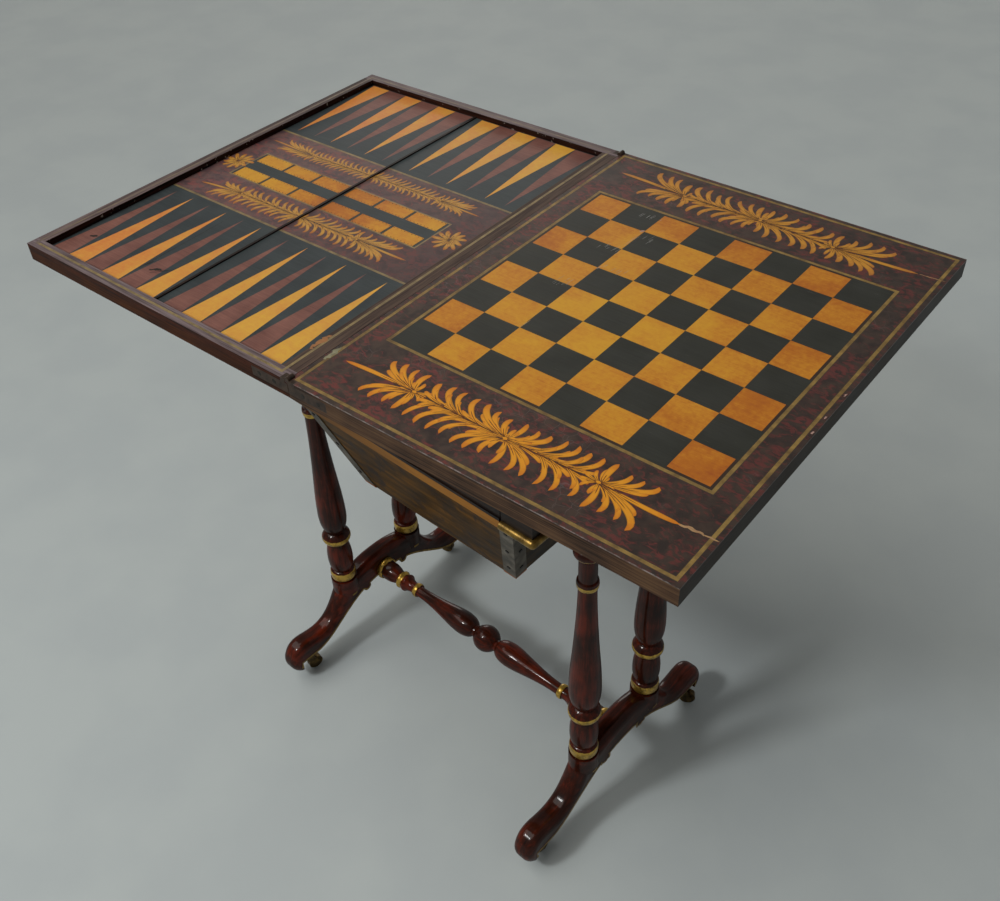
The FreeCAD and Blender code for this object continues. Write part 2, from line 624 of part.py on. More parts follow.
def stretcher():
    # Ball and vase are set from the middle, rings and beads in from the ends. The taper joins them.
    end = trestle_x - FOOT_THICK / 2
    vase = 52
    ring_in = end - 77.5
    taper = ring_in - vase
    half = [
        [(0, 19.6), (8, 18.0), (15, 13.4), (19.5, 8.6)],
        [(19.5, 8.6), (22, 9.0)],
        [(22, 9.0), (27, 13.4), (38, 16.8), (vase, 17.0), (vase + 0.31 * taper, 13.4),
         (vase + 0.64 * taper, 9.6), (ring_in, 8.2)],
        [(ring_in, 8.2), (ring_in + 1, 10.2)],
        [(ring_in + 1, 10.2), (ring_in + 4.5, 11.0), (ring_in + 8, 10.2)],
        [(ring_in + 8, 10.2), (ring_in + 9, 8.6)],
        [(ring_in + 9, 8.6), (ring_in + 18, 9.2), (end - 53.5, 12.0)],
        [(end - 53.5, 12.0), (end - 49.5, 13.4), (end - 45.5, 11.6), (end - 41.5, 13.6), (end - 37.5, 12.0)],
        [(end - 37.5, 12.0), (end - 35.5, 9.6)],
        [(end - 35.5, 9.6), (end - 27.5, 12.6), (end - 18.5, 14.6), (end - 9, 14.2)],
        [(end - 9, 14.2), (end - 8, 16.2)],
        [(end - 8, 16.2), (end - 4, 17.4), (end, 16.4)],
        [(end, 16.4), (end, STRETCHER_DOWEL_RADIUS)],
        [(end, STRETCHER_DOWEL_RADIUS), (end + STRETCHER_DOWEL, STRETCHER_DOWEL_RADIUS)],
    ]
    right = lathe(half)
    rod_shape = right.fuse(right.mirror(Vector(0, 0, 0), Vector(0, 0, 1))).removeSplitter()
    rod_shape.rotate(Vector(0, 0, 0), Vector(0, 1, 0), 90)
    rod_shape.translate(Vector(0, 0, STRETCHER_HEIGHT))
    return rod_shape


def foot():
    # An arched foot with a cyma top line and scroll toes, cut from one plank and rounded over on top.
    reach = FOOT_REACH
    toe_low = 2 * WHEEL_RADIUS + TOE_CLEARANCE
    nose_height = 0.319 * FOOT_CREST
    # Shares of the reach and of the crest's height along the top line, from the middle to the toe's nose.
    top_shares = [(0, 1), (0.131, 0.989), (0.241, 0.953), (0.3455, 0.8985), (0.419, 0.819), (0.471, 0.71),
                  (0.5235, 0.609), (0.5865, 0.529), (0.66, 0.493), (0.754, 0.5), (0.8535, 0.518),
                  (0.932, 0.4855), (0.9815, 0.406)]
    top_half = [(y * reach, z * FOOT_CREST) for y, z in top_shares]
    top_half.append((reach, nose_height))
    top_half.append((0.9895 * reach, toe_low + 0.42 * (nose_height - toe_low)))
    top_half.append((0.9635 * reach, toe_low))
    toe_inner = CASTOR_PLACE + max(fork_sweep(toe_low), SOCKET_RADIUS) + TOE_CLEARANCE
    # Shares of the way to the castor and of the arch's rise along the underside.
    under_reach = CASTOR_PLACE - SOCKET_RADIUS - TOE_CLEARANCE
    arch_rise = FOOT_ARCH - CASTOR_HEIGHT
    under_shares = [(0, 1), (0.1515, 0.9745), (0.29, 0.898), (0.4275, 0.754), (0.5655, 0.551),
                    (0.7035, 0.322), (0.814, 0.1525), (1, 0)]
    under_half = [(y * under_reach, CASTOR_HEIGHT + z * arch_rise) for y, z in under_shares]

    def both_ways(points):
        return [(-y, z) for y, z in reversed(points[1:])] + list(points)

    def smooth(points):
        curve = Part.BSplineCurve()
        curve.interpolate([Vector(0, y, z) for y, z in points])
        return curve.toShape()

    top_points = both_ways(top_half)
    under_points = both_ways(under_half)
    tip_y, tip_z = top_half[-1]
    under_y, under_z = under_half[-1]
    edges = [smooth(top_points)]
    toe = [(tip_y, tip_z), (toe_inner, tip_z), (toe_inner, CASTOR_HEIGHT), (under_y, under_z)]
    for side in (1, -1):
        for (y0, z0), (y1, z1) in zip(toe, toe[1:]):
            edges.append(Part.makeLine(Vector(0, side * y0, z0), Vector(0, side * y1, z1)))
    edges.append(smooth(under_points))
    face = Part.Face(Part.Wire(Part.__sortEdges__(edges)))
    plank = face.extrude(Vector(FOOT_THICK, 0, 0))
    plank.translate(Vector(-FOOT_THICK / 2, 0, 0))
    crest = [e for e in plank.Edges if e.BoundBox.ZMax > LEG_SEAT and e.BoundBox.YLength > reach]
    plank = plank.makeFillet(min(FOOT_ROUND, FOOT_THICK / 2 - 1), crest)
    extras = []
    for side in (-1, 1):
        extras.append(rod(SHOULDER_RADIUS, Vector(0, side * leg_y, LEG_SEAT - SHOULDER_HEIGHT),
                          Vector(0, side * leg_y, LEG_SEAT)))
        extras.append(rod(CUSP_RADIUS, Vector(-FOOT_THICK / 2, side * CUSP_PLACE, CUSP_HEIGHT),
                          Vector(FOOT_THICK / 2, side * CUSP_PLACE, CUSP_HEIGHT)))
    plank = plank.fuse(extras)
    cuts = []
    for side in (-1, 1):
        seat = Vector(0, side * leg_y, LEG_SEAT)
        cuts.append(rod(SHOULDER_RADIUS, seat, seat + Vector(0, 0, SHOULDER_HEIGHT)))
        cuts.append(rod(DOWEL_RADIUS, seat - Vector(0, 0, DOWEL_LENGTH), seat))
        stem = Vector(0, side * CASTOR_PLACE, CASTOR_HEIGHT)
        cuts.append(rod(bush_radius, stem, stem + Vector(0, 0, STEM_LENGTH)))
    return plank.cut(cuts).removeSplitter()


def trestles():
    turned_leg = leg()
    carved_foot = foot()
    rail = stretcher()
    for name, side in (("left", -1), ("right", 1)):
        piece = carved_foot.copy()
        piece.translate(Vector(side * trestle_x, 0, 0))
        save("foot_" + name, stand(piece.cut(rail)))
    for name, (sx, sy) in corners.items():
        piece = turned_leg.copy()
        piece.translate(Vector(sx * trestle_x, sy * leg_y, 0))
        save("leg_" + name, stand(piece))
    save("stretcher", stand(rail))


# Castors: a socket driven into the foot, a fork that swivels in it and a wheel on the fork's axle

crown_top = CASTOR_HEIGHT - SOCKET_THICK - SOCKET_GAP
crown_low = crown_top - CROWN_THICK
crown_middle = (crown_low + crown_top) / 2


def fork_sweep(height):
    # How far from its stem the fork's slanting cheeks swing at a height between axle and crown.
    share = (crown_middle - height) / (crown_middle - WHEEL_RADIUS)
    along = CHEEK_ROOT + share * (CASTOR_TRAIL + CHEEK_RADIUS - CHEEK_ROOT)
    return hypot(along, WHEEL_WIDTH / 2 + WHEEL_GAP + CHEEK_THICK)


def castor_socket():
    # Built with its plate's top face at the foot's underside, on the Z axis.
    low = CASTOR_HEIGHT - SOCKET_THICK
    plate = rod(SOCKET_RADIUS, Vector(0, 0, low), Vector(0, 0, CASTOR_HEIGHT))
    bush = rod(bush_radius, Vector(0, 0, low), Vector(0, 0, CASTOR_HEIGHT + STEM_LENGTH))
    bore = rod(STEM_RADIUS + STEM_CLEARANCE, Vector(0, 0, low), Vector(0, 0, CASTOR_HEIGHT + STEM_LENGTH))
    return plate.fuse(bush).cut(bore).removeSplitter()


def castor_fork():
    # Trails along +X from its stem on the Z axis; the axle is riveted through both cheeks.
    inner = WHEEL_WIDTH / 2 + WHEEL_GAP
    outer = inner + CHEEK_THICK
    crown = rod(CROWN_RADIUS, Vector(0, 0, crown_low), Vector(0, 0, crown_top))
    stem = rod(STEM_RADIUS, Vector(0, 0, crown_top), Vector(0, 0, CASTOR_HEIGHT + STEM_LENGTH - SOCKET_GAP))
    axle = Vector(CASTOR_TRAIL, 0, WHEEL_RADIUS)
    pieces = [stem, rod(AXLE_RADIUS, axle - Vector(0, outer, 0), axle + Vector(0, outer, 0))]
    side_points = [
        Vector(-CHEEK_ROOT, 0, crown_middle),
        Vector(CHEEK_ROOT, 0, crown_middle),
        Vector(CASTOR_TRAIL + CHEEK_RADIUS, 0, WHEEL_RADIUS),
        Vector(CASTOR_TRAIL - CHEEK_RADIUS, 0, WHEEL_RADIUS),
    ]
    outline = Part.Face(Part.makePolygon(side_points + side_points[:1]))
    for start in (inner, -outer):
        cheek = outline.extrude(Vector(0, CHEEK_THICK, 0))
        cheek.translate(Vector(0, start, 0))
        boss = rod(CHEEK_RADIUS, axle + Vector(0, start, 0), axle + Vector(0, start + CHEEK_THICK, 0))
        pieces.append(cheek)
        pieces.append(boss)
    return crown.fuse(pieces).removeSplitter()


def castor_wheel():
    axle = Vector(CASTOR_TRAIL, 0, WHEEL_RADIUS)
    half = Vector(0, WHEEL_WIDTH / 2, 0)
    tread = rod(WHEEL_RADIUS, axle - half, axle + half)
    return tread.cut(rod(AXLE_RADIUS + AXLE_CLEARANCE, axle - half, axle + half))


def castors():
    sockets = []
    for name, (sx, sy) in corners.items():
        place = Vector(sx * trestle_x, sy * CASTOR_PLACE, 0)
        socket = castor_socket()
        socket.translate(place)
        sockets.append(stand(socket))
        for kind, piece in (("fork", castor_fork()), ("wheel", castor_wheel())):
            piece.rotate(Vector(0, 0, 0), Vector(0, 0, 1), castor_turns[name])
            piece.translate(place)
            save("castor_" + kind + "_" + name, stand(piece))
    save("castor_sockets", group(sockets))


# Work box: a sliding frame on the trestle bearers with a tapered box hung from it

rail_low = runner_top + RUNNER_GAP
rail_high = rail_low + DRAWER_RAIL_HEIGHT
box_top = rail_low
box_low = box_top - BOX_DEPTH
half_top_x = BOX_TOP_LENGTH / 2
half_top_y = BOX_TOP_WIDTH / 2
half_low_x = BOX_BOTTOM_LENGTH / 2
half_low_y = BOX_BOTTOM_WIDTH / 2
slope_x = (half_top_x - half_low_x) / BOX_DEPTH
slope_y = (half_top_y - half_low_y) / BOX_DEPTH


def drawer_frame():
    # Front board, two side rails on the bearers and two cross rails. The panels hang from all four rails.
    front_y = -half_frame_y
    front_back = front_y + RAIL_THICK
    front_x = stile_inner - FRONT_GAP
    front_top = frame_top - TOP_RAIL_THICK - FRONT_GAP
    front = block(-front_x, front_x, front_y, front_back, frame_bottom, front_top)
    band = block(-front_x, front_x, front_y - FRONT_BAND_PROUD, front_y,
                 frame_bottom, frame_bottom + FRONT_BAND_HEIGHT)
    save("drawer_front", stand(front.fuse(band).removeSplitter()))
    side_outer = stile_inner - DRAWER_SIDE_GAP
    side_inner = half_top_x - BOX_WALL
    for name, side in (("left", -1), ("right", 1)):
        span = sorted((side * side_inner, side * side_outer))
        rail = block(span[0], span[1], front_back, half_top_y, rail_low, rail_high)
        save("drawer_side_" + name, stand(rail))
    cross_inner = half_top_y - CROSS_RAIL_THICK
    near_rail = block(-side_inner, side_inner, front_back, -cross_inner, rail_low, rail_high)
    far_rail = block(-side_inner, side_inner, cross_inner, half_top_y, rail_low, rail_high)
    save("drawer_cross_rails", group([stand(near_rail), stand(far_rail)]))


def box_panels():
    # Four mitred panels with an equal wall, and a floor between them.
    def at(half_x, half_y, z):
        return [Vector(sx * half_x, sy * half_y, z) for sx, sy in ((-1, -1), (1, -1), (1, 1), (-1, 1))]
    outer_low = at(half_low_x, half_low_y, box_low)
    inner_low = at(half_low_x - BOX_WALL, half_low_y - BOX_WALL, box_low)
    outer_top = at(half_top_x, half_top_y, box_top)
    inner_top = at(half_top_x - BOX_WALL, half_top_y - BOX_WALL, box_top)
    for k, name in enumerate(("near", "right", "far", "left")):
        n = (k + 1) % 4
        lower = [outer_low[k], outer_low[n], inner_low[n], inner_low[k]]
        upper = [outer_top[k], outer_top[n], inner_top[n], inner_top[k]]
        save("box_panel_" + name, stand(six_sided(lower, upper)))
    x0 = half_low_x - BOX_WALL
    y0 = half_low_y - BOX_WALL
    floor = frustum(x0, y0, box_low, x0 + slope_x * BOX_FLOOR, y0 + slope_y * BOX_FLOOR, box_low + BOX_FLOOR)
    save("box_floor", stand(floor))


def box_strips():
    # An angle strip of even width down each corner, tacked on both faces.
    strips = []
    tacks = []
    for sx, sy in corners.values():
        run = Vector(-sx * (half_top_x - half_low_x), -sy * (half_top_y - half_low_y), -BOX_DEPTH)
        x, y = half_top_x, half_top_y
        angle = [(x - STRIP_WIDTH, y), (x, y), (x, y - STRIP_WIDTH), (x + STRIP_THICK, y - STRIP_WIDTH),
                 (x + STRIP_THICK, y + STRIP_THICK), (x - STRIP_WIDTH, y + STRIP_THICK)]
        points = [Vector(sx * px, sy * py, box_top) for px, py in angle]
        strips.append(Part.Face(Part.makePolygon(points + points[:1])).extrude(run))
        for k in range(TACKS_A_STRIP):
            share = (k + 0.5) / TACKS_A_STRIP
            corner = Vector(sx * x, sy * y, box_top) + run * share
            on_long = corner + Vector(-sx * STRIP_WIDTH / 2, sy * STRIP_THICK, 0)
            on_short = corner + Vector(sx * STRIP_THICK, -sy * STRIP_WIDTH / 2, 0)
            faces = ((on_long, Vector(0, sy, -slope_y)), (on_short, Vector(sx, 0, -slope_x)))
            for foot_point, normal in faces:
                tacks.append(rod(TACK_RADIUS, foot_point, foot_point + normal.normalize() * TACK_PROUD))
    save("box_corner_strips", group([stand(s) for s in strips]))
    save("box_tacks", group([stand(t) for t in tacks]))


def work_box():
    drawer_frame()
    box_panels()
    box_strips()


os.makedirs("parts", exist_ok=True)
chess_leaf()
backgammon_leaf()
frame()
trestles()
castors()
work_box()
print("swivel axis at", round(pivot_x, 4), round(pivot_y, 4))
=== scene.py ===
import math
import random

import bpy
from mathutils import Matrix, Vector


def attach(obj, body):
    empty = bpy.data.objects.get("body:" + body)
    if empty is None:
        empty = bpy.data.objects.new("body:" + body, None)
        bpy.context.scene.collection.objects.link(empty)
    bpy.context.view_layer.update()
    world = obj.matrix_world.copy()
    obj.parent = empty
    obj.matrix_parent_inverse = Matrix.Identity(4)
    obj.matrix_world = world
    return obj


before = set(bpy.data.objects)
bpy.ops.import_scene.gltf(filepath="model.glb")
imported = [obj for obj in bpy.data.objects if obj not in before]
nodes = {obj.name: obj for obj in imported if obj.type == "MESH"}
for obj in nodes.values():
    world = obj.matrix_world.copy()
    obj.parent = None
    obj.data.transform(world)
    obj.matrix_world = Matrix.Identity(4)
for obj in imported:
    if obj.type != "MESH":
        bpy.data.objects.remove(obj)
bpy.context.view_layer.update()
mm = 0.001
print("frame loaded,", len(nodes), "CAD nodes")

# where the base stands under the top: its middle and its turn about the upright axis
baseStand = {"middle": (-0.014, -0.0127, 0.0), "turn": math.radians(-3.5)}


def linear(code):
    parts = [int(code[i:i + 2], 16) / 255 for i in (1, 3, 5)]
    return tuple(p / 12.92 if p <= 0.04045 else ((p + 0.055) / 1.055) ** 2.4 for p in parts) + (1.0,)


def perMetre(size):
    return 1.0 / (size * mm)  # pattern cells of this many millimetres in one metre


def grainScale(sizes):
    return tuple(perMetre(size) for size in sizes)


def inMetres(spot):
    return tuple(c * mm for c in spot)


def addNode(tree, kind, inputs=None, out=0, stops=None, **settings):
    node = tree.nodes.new("ShaderNode" + kind)
    for name, value in settings.items():
        setattr(node, name, value)
    for key, value in (inputs or {}).items():
        if isinstance(value, bpy.types.NodeSocket):
            tree.links.new(value, node.inputs[key])
        else:
            node.inputs[key].default_value = linear(value) if isinstance(value, str) else value
    if stops:
        marks = node.color_ramp.elements
        while len(marks) < len(stops):
            marks.new(0.5)
        for mark, (place, code) in zip(marks, stops):
            mark.position = place
            mark.color = linear(code) if isinstance(code, str) else (code, code, code, 1.0)
    return node.outputs[out]


def startMaterial(name, gloss=0.0, glossRoughness=0.1, shine=0.3):
    material = bpy.data.materials.new(name)
    material.use_nodes = True
    tree = material.node_tree
    shader = tree.nodes["Principled BSDF"]
    shader.inputs["Coat Weight"].default_value = gloss
    shader.inputs["Coat Roughness"].default_value = glossRoughness
    shader.inputs["Specular IOR Level"].default_value = shine  # below a half where grime dulls the surface
    place = addNode(tree, "TexCoord", out="Object")
    return material, tree, shader, place


def feed(tree, shader, **sockets):
    for key, value in sockets.items():
        socket = shader.inputs[key.replace("_", " ")]
        if isinstance(value, bpy.types.NodeSocket):
            tree.links.new(value, socket)
        else:
            socket.default_value = linear(value) if isinstance(value, str) else value


# mahogany, turned and French polished over a dark stain: deep red where light enters, near black between
mahogany = {"grain": (5, 5, 60), "cloud": 45, "wearSpot": 30, "dark": "#180905", "mid": "#331207",
            "red": "#581d0d", "ior": 1.52, "rough": 0.42, "polish": 0.36, "polishRough": 0.1, "shine": 0.04}
# oil gilding on the turned rings: warm yellow metal rubbed through to the brown size
gilding = {"bright": "#c9a347", "dull": "#7d6428", "wornSpot": 9, "brush": 6, "wander": 1.2, "rough": 0.36,
           "metallic": 0.85}
legBands = [(137.0, 150.0), (208.0, 222.0), (446.0, 453.8), (494.0, 500.5)]  # gilt heights on every leg
stretcherBands = [(137.0, 144.5), (168.0, 176.5), (205.0, 214.0)]  # gilt distances from its middle


def polishedMahogany(name, bands=None, along="Z", grain=mahogany["grain"]):
    material, tree, shader, place = startMaterial(name, mahogany["polish"], mahogany["polishRough"],
                                                  mahogany["shine"])
    place = addNode(tree, "Mapping", {"Vector": place, "Location": baseStand["middle"],
                                      "Rotation": (0, 0, baseStand["turn"])}, vector_type="TEXTURE")
    stretched = addNode(tree, "Mapping", {"Vector": place, "Scale": grainScale(grain)})
    streaks = addNode(tree, "TexNoise", {"Vector": stretched, "Scale": 1, "Detail": 6, "Roughness": 0.62,
                                         "Distortion": 0.4})
    clouds = addNode(tree, "TexNoise", {"Vector": place, "Scale": perMetre(mahogany["cloud"]), "Detail": 3})
    figure = addNode(tree, "Math", {0: streaks, 1: clouds}, operation="ADD")
    figure = addNode(tree, "Math", {0: figure, 1: 0.5}, operation="MULTIPLY")
    wood = addNode(tree, "ValToRGB", {"Fac": figure},
                   stops=[(0.36, mahogany["dark"]), (0.5, mahogany["mid"]), (0.62, mahogany["red"])])
    wear = addNode(tree, "TexNoise", {"Vector": place, "Scale": perMetre(mahogany["wearSpot"]), "Detail": 5})
    rough = addNode(tree, "MapRange", {"Value": wear, "To Min": mahogany["rough"] - 0.08,
                                       "To Max": mahogany["rough"] + 0.12})
    if not bands:
        feed(tree, shader, Base_Color=wood, Roughness=rough, IOR=mahogany["ior"])
        return material
    axis = addNode(tree, "SeparateXYZ", {"Vector": place}, out=along)
    if along == "X":  # the stretcher's rings are alike on both sides of its middle
        axis = addNode(tree, "Math", {0: axis}, operation="ABSOLUTE")
    brush = addNode(tree, "TexNoise", {"Vector": place, "Scale": perMetre(gilding["brush"]), "Detail": 2})
    jitter = addNode(tree, "MapRange", {"Value": brush, "To Min": -gilding["wander"] * mm,
                                        "To Max": gilding["wander"] * mm})
    edge = addNode(tree, "Math", {0: axis, 1: jitter}, operation="ADD")
    mask = None
    for low, high in bands:
        band = addNode(tree, "Math", {0: edge, 1: (low + high) / 2 * mm, 2: (high - low) / 2 * mm},
                       operation="COMPARE")
        mask = band if mask is None else addNode(tree, "Math", {0: mask, 1: band}, operation="MAXIMUM")
    rubbedAndLit = addNode(tree, "TexNoise", {"Vector": place, "Scale": perMetre(gilding["wornSpot"]), "Detail": 6,
                                        "Roughness": 0.65})
    gold = addNode(tree, "ValToRGB", {"Fac": rubbedAndLit},
                   stops=[(0.36, gilding["dull"]), (0.56, gilding["bright"])])
    kept = addNode(tree, "ValToRGB", {"Fac": rubbedAndLit}, stops=[(0.3, 0.0), (0.38, 1.0)])
    mask = addNode(tree, "Math", {0: mask, 1: kept}, operation="MULTIPLY")
    colour = addNode(tree, "Mix", {0: mask, 6: wood, 7: gold}, out=2, data_type="RGBA")
    metal = addNode(tree, "Math", {0: mask, 1: gilding["metallic"]}, operation="MULTIPLY")
    skin = addNode(tree, "Mix", {0: mask, 2: rough, 3: gilding["rough"]}, data_type="FLOAT")
    feed(tree, shader, Base_Color=colour, Roughness=skin, Metallic=metal, IOR=mahogany["ior"])
    return material


# tortoiseshell work: red brush flecks over brown-black japan, under a thick crazed varnish
tortoiseshell = {"fleck": (8.5, 4.4, 4.4), "tilt": 0.35, "patch": 34, "drift": 24, "driftReach": 14,
                 "brownSpot": 11, "craze": 11, "crazeSpread": 60, "crazeColour": "#84777a", "dark": "#1c1512",
                 "bare": "#8f8580", "ragged": 7, "lost": (-2.2, 1.2), "bareFrom": (-0.9, 0.1), "fine": 1.6,
                 "rough": 0.38, "varnish": 0.2, "varnishRough": 0.16, "ior": 1.5}


def tortoiseshellLacquer(name, ground, brown, red, amount, shade, edge=None):
    material, tree, shader, place = startMaterial(name, tortoiseshell["varnish"],
                                                  tortoiseshell["varnishRough"])
    drift = addNode(tree, "TexNoise", {"Vector": place, "Scale": perMetre(tortoiseshell["drift"]),
                                       "Detail": 2}, out="Color")
    shift = addNode(tree, "VectorMath", {0: drift, "Scale": tortoiseshell["driftReach"] * mm},
                    operation="SCALE")
    moved = addNode(tree, "VectorMath", {0: place, 1: shift}, operation="ADD")
    strokes = addNode(tree, "Mapping", {"Vector": moved, "Rotation": (0, 0, tortoiseshell["tilt"]),
                                        "Scale": grainScale(tortoiseshell["fleck"])})
    fleck = addNode(tree, "TexNoise", {"Vector": strokes, "Scale": 1, "Detail": 3, "Roughness": 0.58,
                                       "Distortion": 0.7})
    patch = addNode(tree, "TexNoise", {"Vector": place, "Scale": perMetre(tortoiseshell["patch"]),
                                       "Detail": 2})
    mixed = addNode(tree, "Math", {0: patch, 1: amount}, operation="MULTIPLY")
    mixed = addNode(tree, "Math", {0: fleck, 1: mixed}, operation="ADD")
    flecks = addNode(tree, "ValToRGB", {"Fac": mixed},
                     stops=[(0.5 + amount * 0.5, 0.0), (0.66 + amount * 0.5, 0.9)])
    browns = addNode(tree, "TexNoise", {"Vector": moved, "Scale": perMetre(tortoiseshell["brownSpot"]),
                                        "Detail": 4})
    under = addNode(tree, "ValToRGB", {"Fac": browns}, stops=[(0.38, ground), (0.62, brown)])
    colour = addNode(tree, "Mix", {0: flecks, 6: under, 7: red}, out=2, data_type="RGBA")
    cells = addNode(tree, "TexVoronoi", {"Vector": moved, "Scale": perMetre(tortoiseshell["craze"])},
                    feature="DISTANCE_TO_EDGE")
    cracks = addNode(tree, "ValToRGB", {"Fac": cells}, stops=[(0.0, 1.0), (0.03, 0.0)])
    where = addNode(tree, "TexNoise", {"Vector": place, "Scale": perMetre(tortoiseshell["crazeSpread"])})
    where = addNode(tree, "ValToRGB", {"Fac": where}, stops=[(0.52, 0.0), (0.66, 0.28)])
    crazed = addNode(tree, "Math", {0: cracks, 1: where}, operation="MULTIPLY")
    colour = addNode(tree, "Mix", {0: crazed, 6: colour, 7: tortoiseshell["crazeColour"]}, out=2,
                     data_type="RGBA")
    x, y = [addNode(tree, "SeparateXYZ", {"Vector": place}, out=axis) for axis in "XY"]
    darker = addNode(tree, "MapRange", {"Value": x, "From Min": shade["from"] * mm,
                                        "From Max": shade["to"] * mm, "To Max": shade["amount"]})
    colour = addNode(tree, "Mix", {0: darker, 6: colour, 7: tortoiseshell["dark"]}, out=2, data_type="RGBA")
    if edge:  # varnish and colour gone along both long edges
        near = addNode(tree, "Math", {0: y}, operation="ABSOLUTE")
        near = addNode(tree, "Math", {0: near, 1: edge * mm}, operation="SUBTRACT")
        ragged = addNode(tree, "TexNoise", {"Vector": place, "Scale": perMetre(tortoiseshell["ragged"]),
                                            "Detail": 5, "Roughness": 0.7})
        least, most = inMetres(tortoiseshell["lost"])
        lost = addNode(tree, "MapRange", {"Value": ragged, "To Min": least, "To Max": most})
        worn = addNode(tree, "Math", {0: lost, 1: near}, operation="ADD")
        begins, full = inMetres(tortoiseshell["bareFrom"])
        bare = addNode(tree, "MapRange", {"Value": worn, "From Min": begins, "From Max": full})
        colour = addNode(tree, "Mix", {0: bare, 6: colour, 7: tortoiseshell["bare"]}, out=2, data_type="RGBA")
    fine = addNode(tree, "TexNoise", {"Vector": place, "Scale": perMetre(tortoiseshell["fine"]), "Detail": 3})
    bump = addNode(tree, "Bump", {"Height": fine, "Strength": 0.08, "Distance": 0.3 * mm})
    rough = addNode(tree, "MapRange", {"Value": patch, "To Min": tortoiseshell["rough"] - 0.1,
                                       "To Max": tortoiseshell["rough"] + 0.12})
    feed(tree, shader, Base_Color=colour, Roughness=rough, Normal=bump, IOR=tortoiseshell["ior"])
    return material


# satinwood veneer, cut with a knife and varnished: amber with slow orange clouds and fine straight grain
satinwood = {"grain": (34, 1.3, 10), "cloud": 36, "mottle": 5, "each": 0.05, "marks": (0.2, 0.35, 0.5, 0.66),
             "surround": "#33251c", "ink": "#2a231d", "rough": 0.45, "varnish": 0.12, "varnishRough": 0.2,
             "shine": 0.25, "ior": 1.5}
squareTones = ("#97501a", "#a86216", "#bb7d20", "#c59125")  # russet, orange, amber, yellow
pointTones = ("#bd6c33", "#c57c39", "#c88f3b", "#cd9d3a")


def satinwoodVeneer(name, tones, blush, squares=None, gaps=None):
    material, tree, shader, place = startMaterial(name, satinwood["varnish"], satinwood["varnishRough"],
                                                  satinwood["shine"])
    fibre = addNode(tree, "Mapping", {"Vector": place, "Scale": grainScale(satinwood["grain"])})
    grain = addNode(tree, "TexNoise", {"Vector": fibre, "Scale": 1, "Detail": 5, "Roughness": 0.65})
    cloud = addNode(tree, "TexNoise", {"Vector": place, "Scale": perMetre(satinwood["cloud"]), "Detail": 4,
                                       "Distortion": 0.6})
    mottle = addNode(tree, "TexNoise", {"Vector": place, "Scale": perMetre(satinwood["mottle"]), "Detail": 4,
                                        "Roughness": 0.6})
    tone = addNode(tree, "Mix", {0: 0.45, 2: cloud, 3: mottle}, data_type="FLOAT")
    tone = addNode(tree, "Mix", {0: 0.25, 2: tone, 3: grain}, data_type="FLOAT")
    if squares:  # every square is its own cut of veneer, a little lighter or darker
        step = addNode(tree, "VectorMath", {0: place, 1: squares["corner"]}, operation="SUBTRACT")
        step = addNode(tree, "VectorMath", {0: step, 1: (squares["side"], squares["side"], 1)},
                       operation="DIVIDE")
        step = addNode(tree, "VectorMath", {0: step}, operation="FLOOR")
        each = addNode(tree, "TexWhiteNoise", {"Vector": step}, noise_dimensions="2D")
        each = addNode(tree, "MapRange", {"Value": each, "To Min": -satinwood["each"],
                                          "To Max": satinwood["each"]})
        tone = addNode(tree, "Math", {0: tone, 1: each}, operation="ADD")
    off = addNode(tree, "VectorMath", {0: place, 1: inMetres(blush["at"])}, operation="SUBTRACT")
    off = addNode(tree, "VectorMath", {0: off, 1: blush["ways"]}, operation="MULTIPLY")
    off = addNode(tree, "VectorMath", {0: off}, out="Value", operation="LENGTH")
    shift = addNode(tree, "MapRange", {"Value": off, "From Max": blush["reach"] * mm,
                                       "To Min": blush["there"], "To Max": blush["beyond"]})
    tone = addNode(tree, "Math", {0: tone, 1: shift}, operation="ADD")
    colour = addNode(tree, "ValToRGB", {"Fac": tone}, stops=list(zip(satinwood["marks"], tones)))
    if squares:  # a dark band runs round the outside of the board
        inside = addNode(tree, "VectorMath", {0: place, 1: squares["middle"]}, operation="SUBTRACT")
        inside = addNode(tree, "VectorMath", {0: inside}, operation="ABSOLUTE")
        x, y = [addNode(tree, "SeparateXYZ", {"Vector": inside}, out=axis) for axis in "XY"]
        far = addNode(tree, "Math", {0: x, 1: y}, operation="MAXIMUM")
        rim = addNode(tree, "Math", {0: far, 1: squares["half"] - squares["band"]}, operation="GREATER_THAN")
        colour = addNode(tree, "Mix", {0: rim, 6: colour, 7: satinwood["surround"]}, out=2, data_type="RGBA")
    if gaps:  # ink over both ends of every cell
        x = addNode(tree, "SeparateXYZ", {"Vector": place}, out="X")
        off = addNode(tree, "Math", {0: x, 1: gaps["middle"] * mm}, operation="SUBTRACT")
        off = addNode(tree, "Math", {0: off}, operation="ABSOLUTE")
        off = addNode(tree, "Math", {0: off, 1: gaps["first"] * mm}, operation="SUBTRACT")
        off = addNode(tree, "Math", {0: off, 1: gaps["pitch"] / 2 * mm}, operation="PINGPONG")
        ink = addNode(tree, "Math", {0: off, 1: gaps["width"] / 2 * mm}, operation="LESS_THAN")
        colour = addNode(tree, "Mix", {0: ink, 6: colour, 7: satinwood["ink"]}, out=2, data_type="RGBA")
    bump = addNode(tree, "Bump", {"Height": grain, "Strength": 0.12, "Distance": 0.2 * mm})
    rough = addNode(tree, "MapRange", {"Value": cloud, "To Min": satinwood["rough"] - 0.08,
                                       "To Max": satinwood["rough"] + 0.1})
    feed(tree, shader, Base_Color=colour, Roughness=rough, Normal=bump, IOR=satinwood["ior"])
    return material


